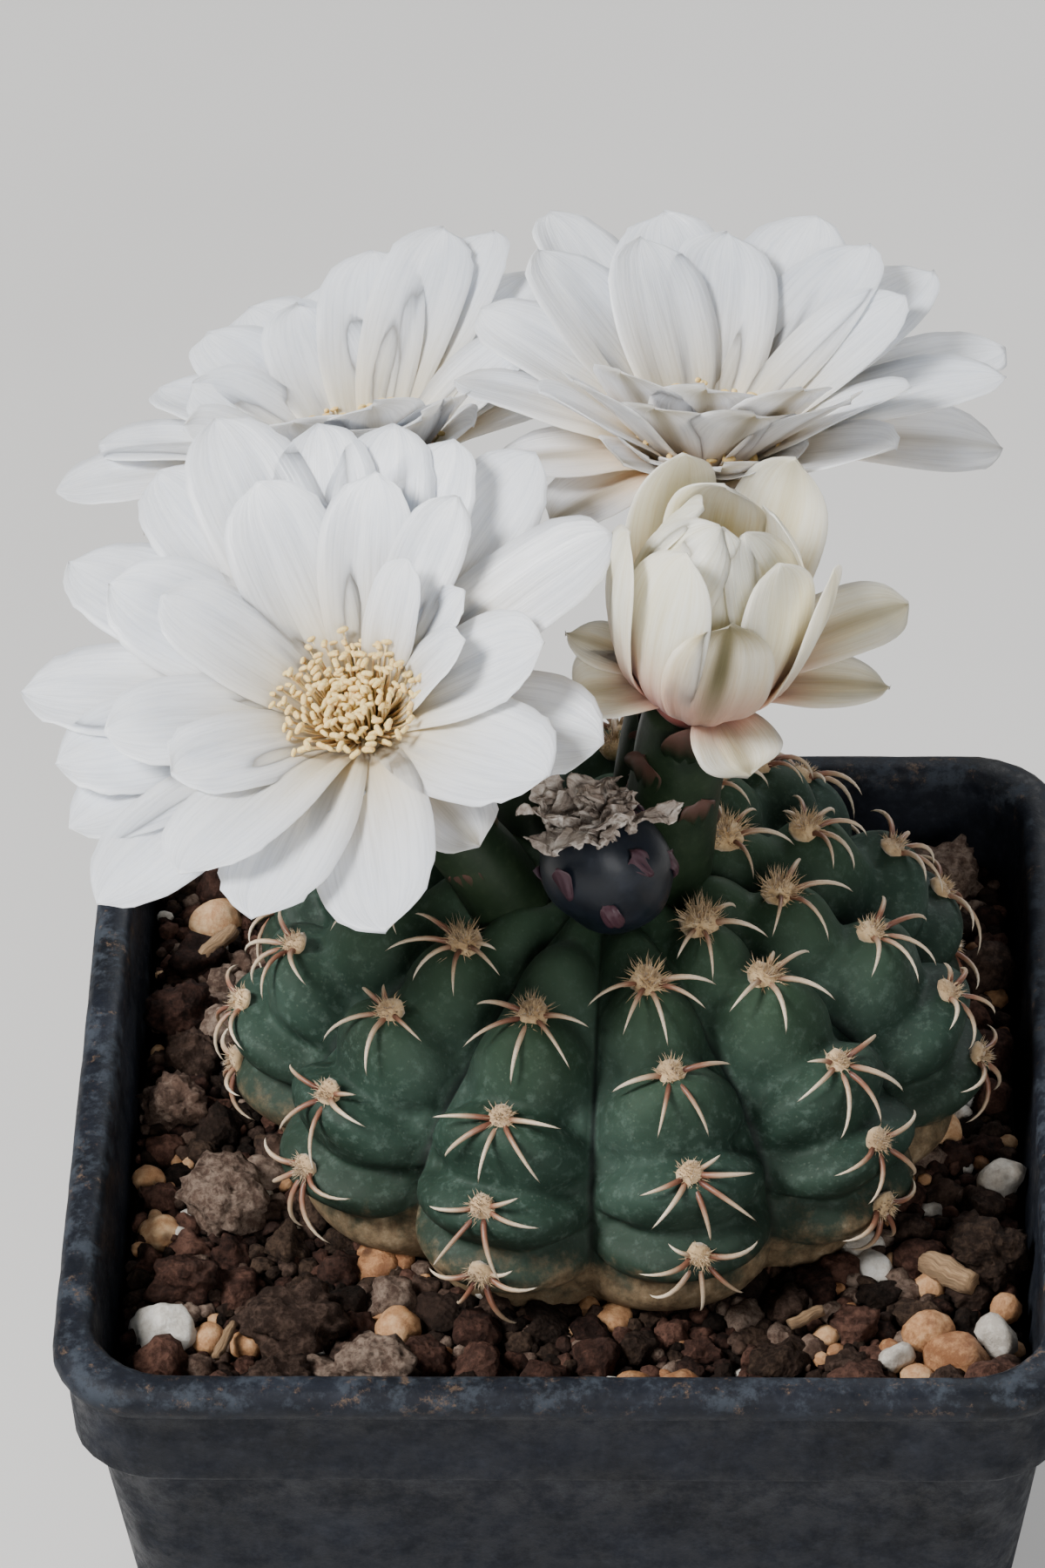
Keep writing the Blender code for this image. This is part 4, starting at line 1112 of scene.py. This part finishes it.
def rounded_square(half, corner, height, steps=14):
    """One ring of a square with rounded corners, counter-clockwise from above."""
    ring = []
    for quarter, (x, y) in enumerate(((1, 1), (-1, 1), (-1, -1), (1, -1))):
        for step in range(steps + 1):
            angle = (quarter + step / steps) * math.pi / 2
            across = x * (half - corner) + corner * math.cos(angle)
            deep = y * (half - corner) + corner * math.sin(angle)
            ring.append(Vector((across, deep, height)))
    return ring


def add_stone(shape, place, radii, kind, rng):
    """A stone of one kind: sharp lava and pumice, or smooth rounded pebbles and quartz."""
    largest = max(radii)
    detail = 4 if largest > 3.2 * MM else 3 if largest > 1.5 * MM else 2
    points, faces = STONE_BALLS[detail]
    spin = Matrix.Rotation(rng.uniform(0, math.tau), 3, "Z")
    spin = spin @ Matrix.Rotation(rng.uniform(-0.5, 0.5), 3, "X")
    shift = random_vector(rng, 50)
    cuts = [Vector([rng.gauss(0, 1) for _ in range(3)]).normalized() for _ in range(kind["cuts"])]
    flat = kind["flat"]
    spread = []
    for p in points:
        length = min([1.0] + [flat / p.dot(cut) for cut in cuts if p.dot(cut) > flat])
        length *= 1 + kind["lumps"] * noise.noise(p * 1.6 + shift)
        if detail > 2:
            length *= 1 + kind["rough"] * noise.fractal(p * 5.0 + shift, 0.8, 2.2, 3)
        spread.append(place + spin @ Vector([a * radius for a, radius in zip(p, radii)]) * length)
    shape.add(spread, faces, None, rng.random())


def lay_large_stones(shapes, rng):
    """Lays the stones that stand out, and gives (x, y, radius) of each."""
    placed = []
    for name, (x, y), size in LARGE_STONES:
        size = [s * MM for s in size]
        x = max(-STONE_REACH + size[0], min(STONE_REACH - size[0], x * MM))
        y = max(-STONE_REACH + size[1], min(STONE_REACH - size[1], y * MM))
        add_stone(shapes[name], Vector((x, y, SOIL_LEVEL + 0.35 * size[2])), size, KINDS[name], rng)
        placed.append((x, y, 0.8 * size[0]))
    return placed


def strewn_place(radius, gap, placed, rng):
    """A random place for a stone, or None where the pot, the stem or another stone is in its way."""
    reach = STONE_REACH - radius
    x, y = rng.uniform(-reach, reach), rng.uniform(-reach, reach)
    corner = math.hypot(max(0, abs(x) - CORNER_START), max(0, abs(y) - CORNER_START))
    from_stem = math.hypot(x - STEM_CENTRE.x, y - STEM_CENTRE.y)
    if corner > CORNER_REACH - radius or from_stem < STEM_HOLE + 0.8 * radius:
        return None
    if any(math.hypot(x - a, y - b) < gap * (radius + r) for a, b, r in placed):
        return None
    return x, y


def strew_stones(shapes, placed, rng):
    """Strews the other stones between the large ones, the smallest last and on top."""
    names = list(KINDS)
    shares = [kind["share"] for kind in KINDS.values()]
    for count, low, high, gap in STREWN:
        made, tries = 0, 0
        while made < count and tries < MOST_TRIES * count:
            tries += 1
            radius = rng.uniform(low, high) * MM
            spot = strewn_place(radius, gap, placed, rng)
            if spot is None:
                continue
            if radius > SMALL_STONE or rng.random() < 0.4:
                placed.append((*spot, radius))
            name = rng.choices(names, shares)[0]
            size = [radius * rng.uniform(*span) for span in ((0.8, 1.15), (0.75, 1.1), (0.65, 0.95))]
            heap = 0.5 * noise.noise(Vector((*spot, 0)) * 90) * MM
            level = BED_LEVEL + radius * rng.uniform(0.25, 0.6) + heap
            if radius < SMALL_STONE:
                level += 0.5 * MM
            add_stone(shapes[name], Vector((*spot, level)), size, KINDS[name], rng)
            made += 1


def make_grit():
    """The bed and its stones: the large ones listed, the rest strewn between them and up to the stem."""
    rng = random.Random(77)
    shapes = {name: Shape() for name in KINDS}
    strew_stones(shapes, lay_large_stones(shapes, rng), rng)
    finishes = {name: stone_finish(name, kind) for name, kind in KINDS.items()}
    for name, shape in shapes.items():
        shape.piece("grit_" + name, finishes[name], "grit", ("soil",))
    rings = [rounded_square(half * MM, POT_CORNER * 0.8, height * MM) for height, half in BED_SIDES]
    edge = rings[-1]
    for share in BED_TOP:
        flat = [Vector((p.x * share, p.y * share, 0)) for p in edge]
        rings.append([Vector((p.x, p.y, BED_LEVEL + 0.8 * MM * noise.noise(p * 200))) for p in flat])
    bed = Shape()
    bed.add(*skin(rings))
    bed.piece("grit_bed", finishes["dark_grit"], "grit", ("soil",))


def make_twigs():
    """A few bits of bark and wood that lie in the grit."""
    rng = random.Random(3)
    shape = Shape()
    for x, y, turn, length, radius in TWIGS:
        heading = Vector((math.cos(turn), math.sin(turn), 0.12))
        start = mm(x, y, TWIG_LEVEL) - 0.5 * length * MM * heading
        path = [start + length * MM * heading * i / TWIG_STEPS for i in range(TWIG_STEPS + 1)]
        path = [p + 0.25 * MM * noise.noise_vector(p * 400) for p in path]
        radii = []
        for i in range(TWIG_STEPS + 1):
            taper = 0.7 + 0.3 * math.sin(math.pi * (i + 0.6) / 9.2)
            radii.append(radius * MM * (taper + rng.uniform(-0.06, 0.06)))
        points, faces, places = tube(path, radii, 14)
        points = [p + 0.3 * MM * noise.noise_vector(p * 1300) * min(1, radius) for p in points]
        shape.add(points, faces, places, rng.random())
    shape.piece("bark_bits", bark_finish(), "grit", ("soil",))


# Pot


POT_POINTS = 180
# The pot's profile as (half width, height) in mm: up the outside and over the lip, then the inside
POT_OUTSIDE = (
    (32.0, 0.0), (32.7, 0.3), (33.0, 1.0),
    *((33.0 + 8.9 * i / 10, 1.0 + 67.0 * i / 10) for i in range(1, 11)),
    (42.1, 68.2), (43.3, 68.7), (43.6, 69.2), (43.7, 71.0), (43.85, 73.8), (44.0, 76.6), (44.3, 76.9),
    (44.7, 77.2), (44.95, 77.9), (45.0, 78.6), (44.85, 79.2), (44.4, 79.7), (43.8, 79.95), (43.2, 80.0),
    (42.4, 80.0), (42.0, 79.8),
)
POT_INSIDE = (
    (41.6, 79.4), (41.45, 78.8), (41.3, 77.0), (41.0, 74.0), (40.5, 70.0), (38.0, 48.0), (34.5, 20.0),
)
POT_FLOOR = ((31.9, 2.0),)
# How deep the wear goes above each height, in mm
POT_WEAR = ((76, 0.16), (60, 0.1), (-1, 0.05))


def resampled(ring, count):
    """The same closed ring with points at even steps, starting from its first one."""
    lengths = [0.0]
    for a, b in zip(ring, ring[1:] + ring[:1]):
        lengths.append(lengths[-1] + (b - a).length)
    even, spot = [], 0
    for i in range(count):
        target = lengths[-1] * i / count
        while lengths[spot + 1] < target:
            spot += 1
        part = (target - lengths[spot]) / max(1e-9, lengths[spot + 1] - lengths[spot])
        even.append(ring[spot].lerp(ring[(spot + 1) % len(ring)], part))
    return even


def worn(point, depth):
    """The point moved in by dents of about that depth."""
    flat = Vector((point.x, point.y, 0)).normalized()
    dent = noise.noise(point * 130) + 0.5 * noise.noise(point * 420)
    return point - abs(dent) * depth * flat


def make_pot():
    """The square nursery pot, with rounder corners and a lip worn uneven."""
    rings = []
    for half, height in (*POT_OUTSIDE, *POT_INSIDE, *POT_FLOOR):
        corner = POT_CORNER * (half * MM) / POT_LIP_HALF
        ring = resampled(rounded_square(half * MM, corner, height * MM, 12), POT_POINTS)
        if (half, height) not in POT_INSIDE:
            depth = next(depth for above, depth in POT_WEAR if height > above) * MM
            ring = [worn(point, depth) for point in ring]
        rings.append(ring)
    shape = Shape()
    shape.add(*skin(rings))
    shape.piece("pot_shell", pot_finish(), "pot_plastic", ("pot",), 50)


# Stage


FLOOR_REACH = 8.0
LIGHT_TARGET = Vector((0, 0, 0.1))
# Name, place, size, power and colour
LIGHTS = (
    ("key", (-0.55, -0.22, 0.72), 0.3, 15.0, (1.0, 0.985, 0.96)),
    ("fill", (0.3, -0.85, 0.45), 0.5, 5.6, (1.0, 0.985, 0.96)),
    ("rim", (0.3, 0.7, 0.6), 0.5, 4.5, (0.96, 0.98, 1.0)),
)
CAMERA_PLACE = mm(14.947, -532.613, 537.267)
# Yaw, pitch and roll in degrees
CAMERA_TURN = (2.066, 38.604, -1.254)
CAMERA_LENS = 178


def added(name, data):
    obj = bpy.data.objects.new(name, data)
    bpy.context.scene.collection.objects.link(obj)
    return obj


def make_floor():
    reach = FLOOR_REACH
    points = [(-reach, -reach, 0.0), (reach, -reach, 0.0), (reach, reach, 0.0), (-reach, reach, 0.0)]
    mesh = bpy.data.meshes.new("floor")
    mesh.from_pydata(points, [], [(0, 1, 2, 3)])
    finish = Finish("floor", 0.8)
    finish.body = finish.ramp(finish.noise(9.0, 3.0), (0.3, (0.62, 0.61, 0.6)), (0.7, (0.66, 0.655, 0.645)))
    mesh.materials.append(finish.done())
    floor = added("floor", mesh)


def make_lights():
    """Three soft lights and a faint sky."""
    for name, place, size, power, colour in LIGHTS:
        light = bpy.data.lights.new(name, "AREA")
        light.size = size
        light.energy = power
        light.color = colour
        obj = added(name, light)
        obj.location = place
        obj.rotation_euler = (LIGHT_TARGET - Vector(place)).to_track_quat("-Z", "Y").to_euler()
    world = bpy.data.worlds.new("studio")
    world.use_nodes = True
    sky = world.node_tree.nodes["Background"].inputs
    sky["Color"].default_value = (0.9, 0.93, 1.0, 1)
    sky["Strength"].default_value = 0.1
    bpy.context.scene.world = world


def make_camera():
    """The photo's camera."""
    camera = bpy.data.cameras.new("camera")
    camera.lens = CAMERA_LENS
    camera.sensor_width = 36
    camera.clip_end = 20
    yaw, pitch, roll = (math.radians(a) for a in CAMERA_TURN)
    back = Vector((math.sin(yaw) * math.cos(pitch), -math.cos(yaw) * math.cos(pitch), math.sin(pitch)))
    level = Vector((math.cos(yaw), math.sin(yaw), 0))
    above = back.cross(level)
    matrix = Matrix((turned(roll, level, above), turned(roll, above, -level), back)).transposed().to_4x4()
    matrix.translation = CAMERA_PLACE
    eye = added("camera", camera)
    eye.matrix_world = matrix
    bpy.context.scene.camera = eye


def main():
    make_floor()
    make_lights()
    make_camera()
    make_pot()
    make_grit()
    make_twigs()
    make_stem_skin()
    make_wool()
    make_spines()
    white, cream, green, yellow = petal_white(), petal_cream(), tube_finish(), stamen_finish()
    for seed, (name, bloom) in enumerate(BLOOMS.items()):
        make_tube(name, bloom, 40 + seed, green)
        if name == "opening_bud":
            make_petals(name, bloom, 50 + seed, cream, "petal_cream", TEARS_FEW)
        else:
            make_petals(name, bloom, 50 + seed, white, "petal_white", TEARS_OPEN)
            make_stamens(name, bloom, 60 + seed, yellow)
    make_berry()
    make_withered_flower()


main()
